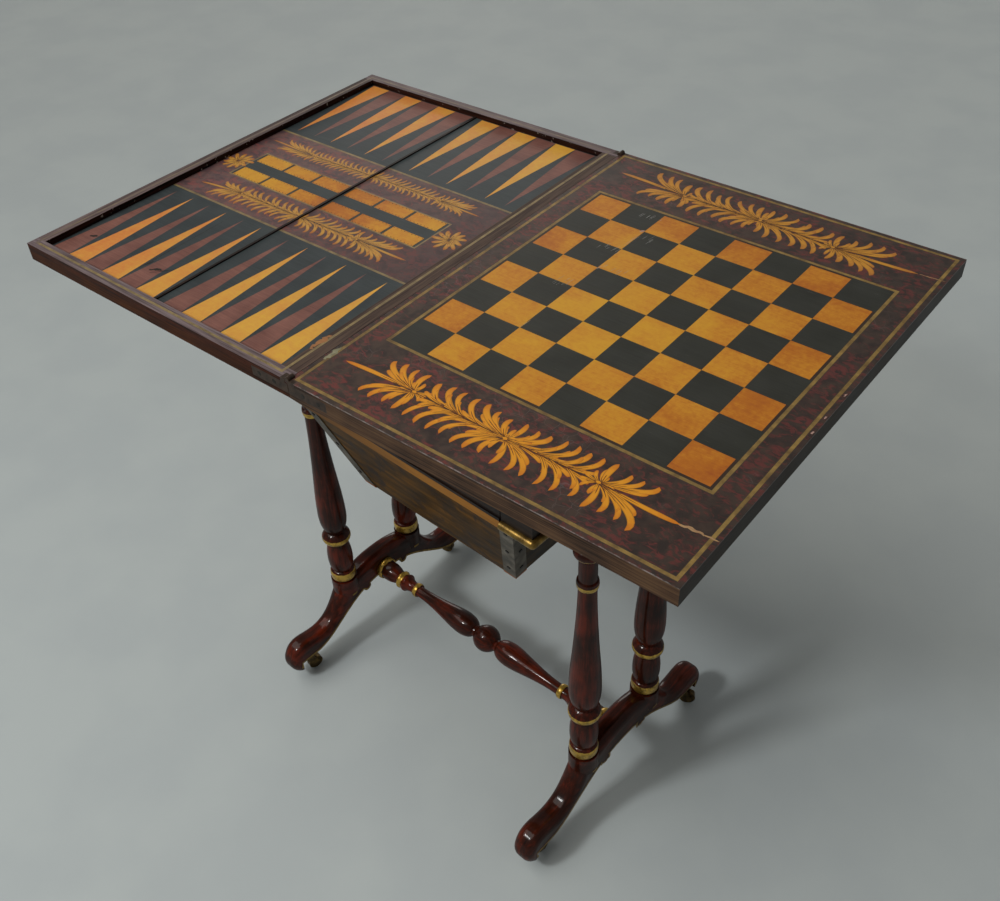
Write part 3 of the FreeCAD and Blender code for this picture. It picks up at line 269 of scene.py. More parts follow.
# stained veneer, waxed and rubbed: one deep tone with faint grain and hairline scratches that catch light
stained = {"grain": (40, 1.4, 10), "cloud": 30, "scratch": (22, 0.9, 8), "scratchTurn": 1.1,
           "scratchColour": "#8c8c86", "rough": 0.46, "wax": 0.08, "waxRough": 0.25, "shine": 0.25,
           "ior": 1.5}


def stainedVeneer(name, deep, pale, scratches, turn=0.0):
    material, tree, shader, place = startMaterial(name, stained["wax"], stained["waxRough"], stained["shine"])
    fibre = addNode(tree, "Mapping", {"Vector": place, "Rotation": (0, 0, turn),
                                      "Scale": grainScale(stained["grain"])})
    grain = addNode(tree, "TexNoise", {"Vector": fibre, "Scale": 1, "Detail": 5, "Roughness": 0.65})
    cloud = addNode(tree, "TexNoise", {"Vector": place, "Scale": perMetre(stained["cloud"]), "Detail": 4})
    tone = addNode(tree, "Mix", {0: 0.5, 2: grain, 3: cloud}, data_type="FLOAT")
    colour = addNode(tree, "ValToRGB", {"Fac": tone}, stops=[(0.36, deep), (0.64, pale)])
    rubs = addNode(tree, "Mapping", {"Vector": place, "Rotation": (0, 0, stained["scratchTurn"]),
                                     "Scale": grainScale(stained["scratch"])})
    hairs = addNode(tree, "TexNoise", {"Vector": rubs, "Scale": 1, "Detail": 4, "Roughness": 0.55})
    lines = addNode(tree, "ValToRGB", {"Fac": hairs}, stops=[(0.7, 0.0), (0.78, scratches)])
    colour = addNode(tree, "Mix", {0: lines, 6: colour, 7: stained["scratchColour"]}, out=2, data_type="RGBA")
    bump = addNode(tree, "Bump", {"Height": grain, "Strength": 0.1, "Distance": 0.2 * mm})
    rough = addNode(tree, "MapRange", {"Value": cloud, "To Min": stained["rough"] - 0.08,
                                       "To Max": stained["rough"] + 0.1})
    feed(tree, shader, Base_Color=colour, Roughness=rough, Normal=bump, IOR=stained["ior"])
    return material


# grained wood under thin old varnish: long streaks from dark to pale, slow clouds, little shine
oldWood = {"cloud": 45, "rough": 0.45, "varnishRough": 0.2, "ior": 1.5}


def grainedWood(name, tones, grain, gloss, shine=0.12, patch=None, foot=None, end=None):
    material, tree, shader, place = startMaterial(name, gloss, oldWood["varnishRough"], shine)
    fibre = addNode(tree, "Mapping", {"Vector": place, "Scale": grainScale(grain)})
    streak = addNode(tree, "TexNoise", {"Vector": fibre, "Scale": 1, "Detail": 7, "Roughness": 0.62,
                                        "Distortion": 0.5})
    slow = addNode(tree, "TexNoise", {"Vector": place, "Scale": perMetre(oldWood["cloud"]), "Detail": 3})
    tone = addNode(tree, "Mix", {0: 0.35, 2: streak, 3: slow}, data_type="FLOAT")
    colour = addNode(tree, "ValToRGB", {"Fac": tone}, stops=list(zip((0.36, 0.5, 0.66), tones)))
    if patch:  # dark blots of spilt varnish
        blot = addNode(tree, "TexNoise", {"Vector": place, "Scale": perMetre(patch["size"]), "Detail": 4,
                                          "Distortion": 1.2})
        amount = addNode(tree, "ValToRGB", {"Fac": blot}, stops=[(0.5, 0.0), (0.66, patch["amount"])])
        colour = addNode(tree, "Mix", {0: amount, 6: colour, 7: patch["colour"]}, out=2, data_type="RGBA")
    if foot:  # a warm band along the lower edge, painted light, fading to painted shade towards -x
        x, height = [addNode(tree, "SeparateXYZ", {"Vector": place}, out=axis) for axis in "XZ"]
        below = addNode(tree, "Math", {0: height, 1: foot["top"] * mm}, operation="LESS_THAN")
        rubbedAndLit = addNode(tree, "MapRange", {"Value": tone, "From Min": 0.35, "From Max": 0.6, "To Min": 0.7})
        below = addNode(tree, "Math", {0: below, 1: rubbedAndLit}, operation="MULTIPLY")
        fullyLit = addNode(tree, "MapRange", {"Value": x, "From Min": foot["worn"] * mm,
                                           "From Max": foot["fullyLit"] * mm, "To Min": foot["least"]})
        below = addNode(tree, "Math", {0: below, 1: fullyLit}, operation="MULTIPLY")
        colour = addNode(tree, "Mix", {0: below, 6: colour, 7: foot["colour"]}, out=2, data_type="RGBA")
    if end:  # painted shade on the end that faces +x
        facing = addNode(tree, "TexCoord", out="Normal")
        facing = addNode(tree, "SeparateXYZ", {"Vector": facing}, out="X")
        paintedShade = addNode(tree, "MapRange", {"Value": facing, "From Min": 0.4, "From Max": 0.6,
                                           "To Max": end["amount"]})
        colour = addNode(tree, "Mix", {0: paintedShade, 6: colour, 7: end["colour"]}, out=2, data_type="RGBA")
    bump = addNode(tree, "Bump", {"Height": streak, "Strength": 0.2, "Distance": 0.3 * mm})
    rough = addNode(tree, "MapRange", {"Value": slow, "To Min": oldWood["rough"] - 0.1,
                                       "To Max": oldWood["rough"] + 0.12})
    feed(tree, shader, Base_Color=colour, Roughness=rough, Normal=bump, IOR=oldWood["ior"])
    return material


# japanned rim of the backgammon tray: lilac-brown on the rubbed top, lighter there as painted sheen,
# red-brown outside, black inside as painted shade
rimSkin = {"outside": ("#200e08", "#44200f"), "inside": ("#0f0a08", "#341a12"), "bare": "#a39a8e", "chip": 5,
           "field": (0.398, 0.020, 0.257), "slack": 0.6, "rough": 0.45, "varnish": 0.04, "varnishRough": 0.2,
           "shine": 0.05, "ior": 1.5}


def rimLacquer(name, grain, top, chipped, fade=None):
    material, tree, shader, place = startMaterial(name, rimSkin["varnish"], rimSkin["varnishRough"],
                                                  rimSkin["shine"])
    fibre = addNode(tree, "Mapping", {"Vector": place, "Scale": grainScale(grain)})
    streak = addNode(tree, "TexNoise", {"Vector": fibre, "Scale": 1, "Detail": 6, "Roughness": 0.62})
    worn, outer, inner = [addNode(tree, "ValToRGB", {"Fac": streak}, stops=[(0.38, deep), (0.62, pale)])
                          for deep, pale in (top, rimSkin["outside"], rimSkin["inside"])]
    facing = addNode(tree, "TexCoord", out="Normal")  # the piece's own, so it keeps when the leaf folds
    upward = addNode(tree, "SeparateXYZ", {"Vector": facing}, out="Z")
    upward = addNode(tree, "Math", {0: upward, 1: 0.5}, operation="GREATER_THAN")
    x, y = [addNode(tree, "SeparateXYZ", {"Vector": place}, out=axis) for axis in "XY"]
    left, right, half = rimSkin["field"]  # the tray's floor, which the inner walls stand round
    slack = rimSkin["slack"] * mm
    offX = addNode(tree, "Math", {0: x, 1: (left + right) / 2}, operation="ADD")
    offX = addNode(tree, "Math", {0: offX}, operation="ABSOLUTE")
    inX = addNode(tree, "Math", {0: offX, 1: (left - right) / 2 + slack}, operation="LESS_THAN")
    offY = addNode(tree, "Math", {0: y}, operation="ABSOLUTE")
    inY = addNode(tree, "Math", {0: offY, 1: half + slack}, operation="LESS_THAN")
    within = addNode(tree, "Math", {0: inX, 1: inY}, operation="MULTIPLY")
    chips = addNode(tree, "TexNoise", {"Vector": place, "Scale": perMetre(rimSkin["chip"]), "Detail": 3})
    bare = addNode(tree, "ValToRGB", {"Fac": chips}, stops=[(chipped, 0.0), (chipped + 0.03, 0.8)])
    inner = addNode(tree, "Mix", {0: bare, 6: inner, 7: rimSkin["bare"]}, out=2, data_type="RGBA")
    # the inner walls take the black colour as painted shade
    colour = addNode(tree, "Mix", {0: within, 6: outer, 7: inner}, out=2, data_type="RGBA")
    if fade:  # darker towards the far side
        darker = addNode(tree, "MapRange", {"Value": y, "From Min": fade["from"] * mm,
                                            "From Max": fade["to"] * mm, "To Max": fade["amount"]})
        worn = addNode(tree, "Mix", {0: darker, 6: worn, 7: fade["colour"]}, out=2, data_type="RGBA")
    # the top faces take the rubbed colour, lighter as painted sheen
    colour = addNode(tree, "Mix", {0: upward, 6: colour, 7: worn}, out=2, data_type="RGBA")
    bump = addNode(tree, "Bump", {"Height": streak, "Strength": 0.15, "Distance": 0.2 * mm})
    rough = addNode(tree, "MapRange", {"Value": chips, "To Min": rimSkin["rough"] - 0.1,
                                       "To Max": rimSkin["rough"] + 0.1})
    feed(tree, shader, Base_Color=colour, Roughness=rough, Normal=bump, IOR=rimSkin["ior"])
    return material


# metals and bronze paint: tarnished or rubbed skins, brighter and smoother where handled
metalSkin = {"fine": 1.2, "shine": 0.5, "unpainted": "#34271f"}


def wornMetal(name, dull, bright, rough, metallic, spot, rings=(), rubbedOff=None):
    material, tree, shader, place = startMaterial(name, shine=metalSkin["shine"])
    tarnish = addNode(tree, "TexNoise", {"Vector": place, "Scale": perMetre(spot), "Detail": 6,
                                         "Roughness": 0.66})
    colour = addNode(tree, "ValToRGB", {"Fac": tarnish}, stops=[(0.35, dull), (0.65, bright)])
    painted = None
    for ring in rings:  # the paint keeps to the middle of each inlaid strip
        off = addNode(tree, "VectorMath", {0: place, 1: inMetres(ring["middle"])}, operation="SUBTRACT")
        off = addNode(tree, "VectorMath", {0: off}, operation="ABSOLUTE")
        off = addNode(tree, "VectorMath", {0: off, 1: inMetres(ring["half"])}, operation="SUBTRACT")
        x, y = [addNode(tree, "SeparateXYZ", {"Vector": off}, out=axis) for axis in "XY"]
        off = addNode(tree, "Math", {0: x, 1: y}, operation="MAXIMUM")
        low, high = ring["paint"]
        strip = addNode(tree, "Math", {0: off, 1: -(low + high) / 2 * mm, 2: (high - low) / 2 * mm},
                        operation="COMPARE")
        painted = addNode(tree, "Math", {0: painted, 1: strip}, operation="MAXIMUM") if painted else strip
    if rings:
        colour = addNode(tree, "Mix", {0: painted, 6: metalSkin["unpainted"], 7: colour}, out=2,
                         data_type="RGBA")
    if rubbedOff:  # worn away to the wood beyond these two sides
        x, y = [addNode(tree, "SeparateXYZ", {"Vector": place}, out=axis) for axis in "XY"]
        beyondX = addNode(tree, "Math", {0: x, 1: rubbedOff["left"]}, operation="LESS_THAN")
        beyondY = addNode(tree, "Math", {0: y, 1: rubbedOff["far"]}, operation="GREATER_THAN")
        beyond = addNode(tree, "Math", {0: beyondX, 1: beyondY}, operation="MAXIMUM")
        thin = addNode(tree, "MapRange", {"Value": tarnish, "From Min": 0.3, "From Max": 0.6, "To Min": 1.0,
                                          "To Max": 0.6})
        beyond = addNode(tree, "Math", {0: beyond, 1: thin}, operation="MULTIPLY")
        colour = addNode(tree, "Mix", {0: beyond, 6: colour, 7: rubbedOff["colour"]}, out=2, data_type="RGBA")
    matt = addNode(tree, "MapRange", {"Value": tarnish, "To Min": rough + 0.12, "To Max": rough - 0.1})
    fine = addNode(tree, "TexNoise", {"Vector": place, "Scale": perMetre(metalSkin["fine"]), "Detail": 4})
    bump = addNode(tree, "Bump", {"Height": fine, "Strength": 0.15, "Distance": 0.2 * mm})
    feed(tree, shader, Base_Color=colour, Roughness=matt, Metallic=metallic, Normal=bump)
    return material


# goat leather over the box corners, dyed dark and dried out: fine pebble, drawn coarse to show, greyed
# where it is rubbed and raw at the foot
goatskin = {"pebble": 1.8, "rub": 16, "dark": "#3d3932", "mid": "#585248", "pale": "#706a60",
            "raw": "#8a4d20", "rawBelow": 394, "uneven": 7, "rough": (0.5, 0.72), "ior": 1.48}


def driedLeather(name):
    material, tree, shader, place = startMaterial(name)
    pebble = addNode(tree, "TexVoronoi", {"Vector": place, "Scale": perMetre(goatskin["pebble"])})
    rubbedAndLit = addNode(tree, "TexNoise", {"Vector": place, "Scale": perMetre(goatskin["rub"]), "Detail": 5})
    colour = addNode(tree, "ValToRGB", {"Fac": rubbedAndLit},
                     stops=[(0.36, goatskin["dark"]), (0.55, goatskin["mid"]), (0.7, goatskin["pale"])])
    height = addNode(tree, "SeparateXYZ", {"Vector": place}, out="Z")
    uneven = addNode(tree, "MapRange", {"Value": rubbedAndLit, "To Min": -goatskin["uneven"] * mm,
                                        "To Max": goatskin["uneven"] * mm})
    height = addNode(tree, "Math", {0: height, 1: uneven}, operation="ADD")
    bare = addNode(tree, "Math", {0: height, 1: goatskin["rawBelow"] * mm}, operation="LESS_THAN")
    colour = addNode(tree, "Mix", {0: bare, 6: colour, 7: goatskin["raw"]}, out=2, data_type="RGBA")
    bump = addNode(tree, "Bump", {"Height": pebble, "Strength": 0.4, "Distance": 0.4 * mm})
    smooth, matt = goatskin["rough"]
    rough = addNode(tree, "MapRange", {"Value": rubbedAndLit, "To Min": smooth, "To Max": matt})
    feed(tree, shader, Base_Color=colour, Roughness=rough, Normal=bump, IOR=goatskin["ior"])
    return material


# penwork petals: amber wood brushed orange at the tips, with brown pen strokes between their feet
penwork = {"mottle": 5, "brushed": 0.2, "varnish": 0.12, "varnishRough": 0.2, "shine": 0.25,
           "rough": (0.36, 0.5), "ior": 1.5}
freshInk = {"foot": "#8a4f1c", "body": "#d08c20", "tip": "#bd6f1a", "pen": "#3f1f14"}
mutedInk = {"foot": "#7a4a1e", "body": "#b9822c", "tip": "#a2672a", "pen": "#3a1e16"}
fadedInk = {"foot": "#6d4422", "body": "#b98a3c", "tip": "#a2622b", "pen": "#43261d"}


def penworkVeneer(name, ink):
    material, tree, shader, place = startMaterial(name, penwork["varnish"], penwork["varnishRough"],
                                                  penwork["shine"])
    along = addNode(tree, "Attribute", attribute_name="along", out="Fac")
    across = addNode(tree, "Attribute", attribute_name="across", out="Fac")
    across = addNode(tree, "Math", {0: across}, operation="ABSOLUTE")
    mottle = addNode(tree, "TexNoise", {"Vector": place, "Scale": perMetre(penwork["mottle"]), "Detail": 4})
    brushed = addNode(tree, "MapRange", {"Value": mottle, "To Min": -penwork["brushed"],
                                         "To Max": penwork["brushed"]})
    run = addNode(tree, "Math", {0: along, 1: brushed}, operation="ADD")
    colour = addNode(tree, "ValToRGB", {"Fac": run}, stops=[(0.0, ink["foot"]), (0.14, ink["body"]),
                                                           (0.62, ink["body"]), (0.95, ink["tip"])])
    side = addNode(tree, "MapRange", {"Value": across, "From Min": 0.6, "From Max": 0.95})
    low = addNode(tree, "MapRange", {"Value": along, "From Min": 0.1, "From Max": 0.75, "To Min": 0.95,
                                     "To Max": 0.3})
    pen = addNode(tree, "Math", {0: side, 1: low}, operation="MULTIPLY")
    colour = addNode(tree, "Mix", {0: pen, 6: colour, 7: ink["pen"]}, out=2, data_type="RGBA")
    smooth, matt = penwork["rough"]
    rough = addNode(tree, "MapRange", {"Value": mottle, "To Min": smooth, "To Max": matt})
    feed(tree, shader, Base_Color=colour, Roughness=rough, IOR=penwork["ior"])
    return material


# the chess board's grid, in metres: one corner, a square's side, the middle, half its width, the dark band
board = {"corner": (0.034, -0.169, 0), "side": 0.043, "middle": (0.206, 0.003, 0), "half": 0.172,
         "band": 0.0028}
# the gold lines round the chess leaf and round its board, with the part of each strip that keeps its paint
lineRings = [{"middle": (206, 0, 0), "half": (201.5, 266.5, 0), "paint": (0.5, 3.9)},
             {"middle": (206, 3, 0), "half": (176.5, 176.5, 0), "paint": (0.8, 4.2)}]

# the base: polished mahogany, pale bare pine inside, japan that shows a little red-brown grain, dull gilt
legWood = polishedMahogany("turnedMahoganyGiltRings", legBands)
footWood = polishedMahogany("sawnMahoganyPolished", grain=(5, 70, 9))
stretcherWood = polishedMahogany("turnedMahoganyStretcher", stretcherBands, "X", (60, 5, 5))
pine = grainedWood("planedPineCarcase", ("#6d4c2c", "#94704a", "#b08c60"), (4, 60, 3), gloss=0.0)
friezeTones = ("#110c0a", "#211712", "#36261a")
frieze = grainedWood("japannedFriezeRosewood", friezeTones, (70, 70, 4), gloss=0.12)
# the drawer front's amber lower band is painted light, fading to painted shade towards -x
drawerLacquer = grainedWood("japannedDrawerFront", friezeTones, (70, 70, 4), gloss=0.12, foot={
    "top": 636.4, "colour": "#99641a", "worn": -110, "fullyLit": 90, "least": 0.12})
friezeGilt = wornMetal("oilGiltBead", "#5a4620", "#9c7c3c", rough=0.4, metallic=0.8, spot=9)
castorBrass = wornMetal("castBrassCastors", "#2a2116", "#70582c", rough=0.42, metallic=0.85, spot=7)
screwSteel = wornMetal("blackenedSteelScrews", "#1f1b18", "#3d3832", rough=0.5, metallic=0.9, spot=5)
swivelIron = wornMetal("forgedIronSwivel", "#232120", "#454341", rough=0.55, metallic=0.9, spot=6)

# the work box: painted graining, amber-brown under dark blots, with leather corners and iron tacks
boxSide = grainedWood("grainedBoxLacquer", ("#261909", "#4a3211", "#6c4712"), (80, 26, 10), gloss=0.04,
                      shine=0.03, patch={"size": 24, "amount": 0.8, "colour": "#2b2421"})
# the end panels take a darker copy of the box lacquer, as painted shade
boxShade = grainedWood("grainedBoxLacquerShaded", ("#1f170c", "#3d2c15", "#5a4018"), (26, 80, 10), gloss=0.04,
                       shine=0.03, patch={"size": 24, "amount": 0.8, "colour": "#1c1815"})
leather = driedLeather("driedGoatLeatherStrips")
tackIron = wornMetal("forgedIronTacks", "#171514", "#3a3632", rough=0.5, metallic=0.8, spot=3)

# the leaves: varnished edges with long streaks, rubbed rims with painted sheen on top and painted shade
# inside, tortoiseshell grounds, veneers and bronze paint
# the chess leaf's end facing +x is darkened as painted shade
leafEdge = grainedWood("varnishedLeafEdge", ("#221710", "#493425", "#664d35"), (90, 90, 1.6), gloss=0.06,
                       shine=0.08, end={"colour": "#141413", "amount": 0.8})
boardEdge = grainedWood("varnishedBoardEdge", ("#1b0d07", "#371c0f", "#4c2b16"), (90, 90, 1.6), gloss=0.03,
                        shine=0.04)
rimAlong = rimLacquer("japannedRimAlong", (60, 2.4, 2.4), ("#4f4344", "#776a6b"), chipped=0.68)
rimOuter = rimLacquer("japannedRimOuter", (2.4, 60, 2.4), ("#4d4040", "#756663"), chipped=0.66, fade={
    "from": -160, "to": 220, "amount": 0.65, "colour": "#2c221e"})
rimHinge = rimLacquer("japannedRimHinge", (2.4, 60, 2.4), ("#3b302b", "#57483f"), chipped=0.68)
# the bar is ebonised, and painted near black as the shade of a groove
barWood = grainedWood("ebonisedShadedBarStrip", ("#120d0b", "#1e1613", "#30241e"), (4, 60, 4), gloss=0.1)
shell = tortoiseshellLacquer("tortoiseshellLacquerGround", "#2e2521", "#43352d", "#68302c", 0.5, {
    "from": 180, "to": 412, "amount": 0.3}, edge=271)
shellPanel = tortoiseshellLacquer("tortoiseshellLacquerPanel", "#49383a", "#624a46", "#7a4440", 0.34, {
    "from": -280, "to": -20, "amount": 0.48})
lightVeneer = satinwoodVeneer("knifeCutSatinwoodSquares", squareTones, {
    "at": (160, -20, 0), "ways": (1, 1, 0), "reach": 220, "there": 0.12, "beyond": -0.12}, squares=board)
pointVeneer = satinwoodVeneer("knifeCutSatinwoodPoints", pointTones, {
    "at": (-400, 0, 0), "ways": (1, 0, 0), "reach": 380, "there": -0.16, "beyond": 0.1})
cellVeneer = satinwoodVeneer("knifeCutSatinwoodCells", squareTones, {
    "at": (-205, 0, 0), "ways": (1, 0, 0), "reach": 140, "there": -0.18, "beyond": 0.12}, gaps={
    "middle": -215.9, "first": 2.5, "pitch": 48.0, "width": 3.8})
blackVeneer = stainedVeneer("ebonisedVeneerSquares", "#24251f", "#31322d", 0.35)
# the field's blue-grey is painted sheen over the black
fieldVeneer = stainedVeneer("ebonisedVeneerField", "#282e30", "#383f40", 0.2, math.pi / 2)
brownVeneer = stainedVeneer("stainedPearwoodPoints", "#603d36", "#80564b", 0.15, math.pi / 2)
lineGold = wornMetal("bronzePaintLines", "#614b26", "#91763c", rough=0.5, metallic=0.12, spot=14,
                     rings=lineRings)
rimGold = wornMetal("bronzePaintRimLines", "#66573a", "#8c794f", rough=0.5, metallic=0.12, spot=14,
                    rubbedOff={"left": -0.4, "far": 0.258, "colour": "#5f524c"})
hingeBrass = wornMetal("lacqueredBrassHinges", "#231810", "#3f2e20", rough=0.55, metallic=0.3, spot=7)

# ornament and wear on the leaves: penwork, ink, bare gesso, wax and two small repairs
petalVeneer = penworkVeneer("penworkSatinwoodPetals", freshInk)
mutedPetals = penworkVeneer("penworkSatinwoodMuted", mutedInk)
fadedPetals = penworkVeneer("penworkSatinwoodFaded", fadedInk)
gessoCrack = stainedVeneer("bareGessoCracks", "#8a6a4c", "#b8966a", 0.1)
rubMark = stainedVeneer("rubbedWaxMarks", "#6d706e", "#a0a19c", 0.1)
paleChip = stainedVeneer("bareGessoChips", "#8f6f64", "#bb9c90", 0.1)
inkDot = stainedVeneer("inkedDots", "#161310", "#2a241f", 0.1)
repairWood = stainedVeneer("rubbedRimRepair", "#7a5234", "#98693f", 0.1)
repairBrass = wornMetal("tarnishedBronzePaint", "#6d6a52", "#8f8c6e", rough=0.5, metallic=0.15, spot=6)
print("materials made")

finishes = {
    legWood: ["leg_near_left", "leg_near_right", "leg_far_left", "leg_far_right"],
    footWood: ["foot_left", "foot_right"],
    stretcherWood: ["stretcher"],
    pine: ["trestle_bearer_left", "trestle_bearer_right", "swivel_bearer", "drawer_side_left",
           "drawer_side_right", "drawer_cross_rails", "box_floor"],
    frieze: ["end_rail_left", "end_rail_right", "back_rail", "front_top_rail"],
    drawerLacquer: ["drawer_front"],
    friezeGilt: ["frame_bead"],
    castorBrass: ["castor_sockets"] + [f"castor_{part}_{corner}" for part in ("fork", "wheel")
                                       for corner in ("near_left", "near_right", "far_left", "far_right")],
    screwSteel: ["frame_screws", "chess_leaf_screws", "backgammon_leaf_screws"],
    boxSide: ["box_panel_near", "box_panel_far"],
    boxShade: ["box_panel_right", "box_panel_left"],
    leather: ["box_corner_strips"],
    tackIron: ["box_tacks"],
    leafEdge: ["chess_core"],
    boardEdge: ["backgammon_board"],
    rimAlong: ["rim_near", "rim_far"],
    rimOuter: ["rim_outer"],
    rimHinge: ["rim_hinge"],
    barWood: ["bar_strip"],
    shell: ["chess_ground"],
    shellPanel: ["centre_panel"],
    lineGold: ["chess_lines"],
    rimGold: ["backgammon_lines"],
    lightVeneer: ["light_squares"],
    pointVeneer: ["amber_points"],
    cellVeneer: ["score_cells"],
    blackVeneer: ["dark_squares"],
    fieldVeneer: ["field_ground"],
    brownVeneer: ["brown_points"],
    hingeBrass: ["fixed_hinges", "folding_hinges"],
    swivelIron: ["swivel_stud_plate", "swivel_washer", "swivel_nut"],
}
dressed = set()
for finish, names in finishes.items():
    for name in names:
        slots = nodes[name].data.materials
        for i in range(len(slots)):
            slots[i] = finish
        dressed.add(name)
print("CAD nodes dressed:", len(dressed), "left:", sorted(set(nodes) - dressed))


def newPiece(name, verts, faces, body, finish, marks=None):
    mesh = bpy.data.meshes.new(name)
    mesh.from_pydata(verts, [], faces)
    mesh.validate()
    mesh.update()
    for key, values in (marks or {}).items():
        mesh.attributes.new(key, "FLOAT", "POINT").data.foreach_set("value", values)
    for face in mesh.polygons:
        face.use_smooth = False
    mesh.materials.append(finish)
    piece = bpy.data.objects.new(name, mesh)
    bpy.context.scene.collection.objects.link(piece)
    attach(piece, body)
    return piece


# laid-in strips are thin closed slivers, four corners round each section and a point at the end
stripForm = {"edgeRise": 0.05 * mm, "ridgeRise": 0.08 * mm, "sunk": 0.06 * mm, "stagger": 0.12 * mm}
# a petal widens from its foot to its belly and rounds off to the tip; a pen stroke runs up from the foot
petalForm = {"sections": 12, "foot": 0.3, "belly": 0.64, "roundTo": 1.02, "rounding": 2.6, "vein": 7,
             "pen": 0.055, "veinRise": 0.05 * mm}
penMarks = (0.0, 1.0)  # along and across values that take the pen's colour
bodyMarks = (0.4, 0.0)  # and those that take the wood's


def addStrip(sheet, spots, halves, level, lift, marks=None):
    verts, faces, along, across = sheet
    start, count = len(verts), len(spots) - 1
    for i in range(count):
        heading = (spots[i + 1] - spots[max(i - 1, 0)]).normalized()
        side = Vector((-heading.y, heading.x))
        for share, rise, mark in ((1, stripForm["edgeRise"], 1), (0, stripForm["ridgeRise"], 0),
                                  (-1, stripForm["edgeRise"], 1), (0, -stripForm["sunk"] - lift, 0)):
            spot = spots[i] + side * share * halves[i]
            verts.append((spot.x, spot.y, level + lift + rise))
            along.append(marks[0] if marks else i / count)
            across.append(marks[1] if marks else mark)
    verts.append((spots[-1].x, spots[-1].y, level + lift + stripForm["edgeRise"]))
    along.append(marks[0] if marks else 1.0)
    across.append(marks[1] if marks else 0.0)
    faces.append((start, start + 1, start + 2, start + 3))
    for low in range(start, start + 4 * (count - 1), 4):
        for k in range(4):
            faces.append((low + k, low + 4 + k, low + 4 + (k + 1) % 4, low + (k + 1) % 4))
    last, point = start + 4 * (count - 1), len(verts) - 1
    for k in range(4):
        faces.append((last + k, point, last + (k + 1) % 4))


def addPetal(sheet, foot, bend, tip, width, level, lift):
    count, belly, least = petalForm["sections"], petalForm["belly"], petalForm["foot"]
    ends = [Vector(spot) * mm for spot in (foot, *bend, tip)]
    spots, halves = [], []
    for i in range(count + 1):
        t = i / count
        shares = ((1 - t) ** 3, 3 * t * (1 - t) ** 2, 3 * t * t * (1 - t), t ** 3)
        spots.append(sum((end * share for end, share in zip(ends, shares)), Vector((0, 0))))
        swell = least + (1 - least) * math.sin(min(t / belly, 1) * math.pi / 2)
        if t > belly:
            past = (t - belly) / (petalForm["roundTo"] - belly)
            swell *= math.sqrt(max(0.0, 1 - past ** petalForm["rounding"]))
        halves.append(width / 2 * mm * swell)
    addStrip(sheet, spots, halves, level, lift)
    vein = spots[:petalForm["vein"]]
    veinHalves = [petalForm["pen"] * width * mm] * len(vein)
    addStrip(sheet, vein, veinHalves, level, lift + petalForm["veinRise"], penMarks)


def finishSpray(name, sheet, body, finish):
    verts, faces, along, across = sheet
    newPiece(name, verts, faces, body, finish, {"along": along, "across": across})


# the sprays of foliage, in millimetres on the leaf: both ends, the flower heads, reach of the tips each side
sprays = [
    {"name": "chess_spray_near", "body": "chess_leaf", "height": 745.0, "ends": ((22.8, -218), (379, -216)),
     "heads": ((105, -215), (208.7, -216.7), (301.7, -214.2)), "up": 26, "down": 30, "seed": 3,
     "finish": petalVeneer},
    {"name": "chess_spray_far", "body": "chess_leaf", "height": 745.0, "ends": ((27, 228), (384, 218)),
     "heads": ((115, 221.6), (208, 222), (294, 216)), "up": 28, "down": 27, "seed": 5,
     "finish": mutedPetals},
    {"name": "backgammon_spray_near", "body": "backgammon_leaf", "height": 738.0,
     "ends": ((-375.5, -60), (-56.5, -50)), "heads": ((-312.5, -52), (-215, -50.5), (-130, -49)),
     "up": 17, "down": 21, "seed": 7, "finish": fadedPetals},
    {"name": "backgammon_spray_far", "body": "backgammon_leaf", "height": 738.0,
     "ends": ((-386, 65), (-52, 65)), "heads": ((-313, 62), (-215, 66), (-111, 67.5)),
     "up": 15, "down": 13.5, "seed": 11, "finish": fadedPetals},
]
# how all of them grow, in millimetres on the largest spray, least to most where it varies;
# a leaf's reach is a share of the spray's, its hook is how far it bends over
growth = {"fullReach": 56, "begin": (38, 43), "endShort": 27, "step": (11.5, 16), "lean": (16, 24),
          "endHead": 6, "endFoot": (2, 1.3), "middleHead": 38, "middleFoot": (1.5, 1.5),
          "bow": (0.5, 0.14, 0.55)}
longLeaf = {"reach": (0.88, 1.1), "hook": (2, 9), "width": (4.8, 6.4)}
shortLeaf = {"back": 3, "reach": (0.45, 0.72), "hook": (1, 4), "width": (3.6, 4.8)}
strapLeaf = {"ahead": (2, 8), "length": 26, "reach": (0.2, 0.36), "hook": 1, "width": (3.8, 4.8)}
lanceLeaf = {"foot": 3, "sag": 2, "bends": (0.33, 0.67), "width": 5}
flower = {"petals": 9, "sway": 0.2, "reach": (9, 15), "wide": 1.2, "foot": (2, 1.6), "hook": 1, "width": 3.6}
stem = {"parts": 8, "wander": 0.5, "half": 0.45, "onLance": 0.3, "lift": 1.3 * stripForm["stagger"]}
button = {"length": 2.4, "fall": 0.3, "lift": 1.2, "along": (-1, -0.5, 0, 0.5, 0.9, 1),
          "halves": (0.5, 1.3, 1.6, 1.3, 0.6, 0)}


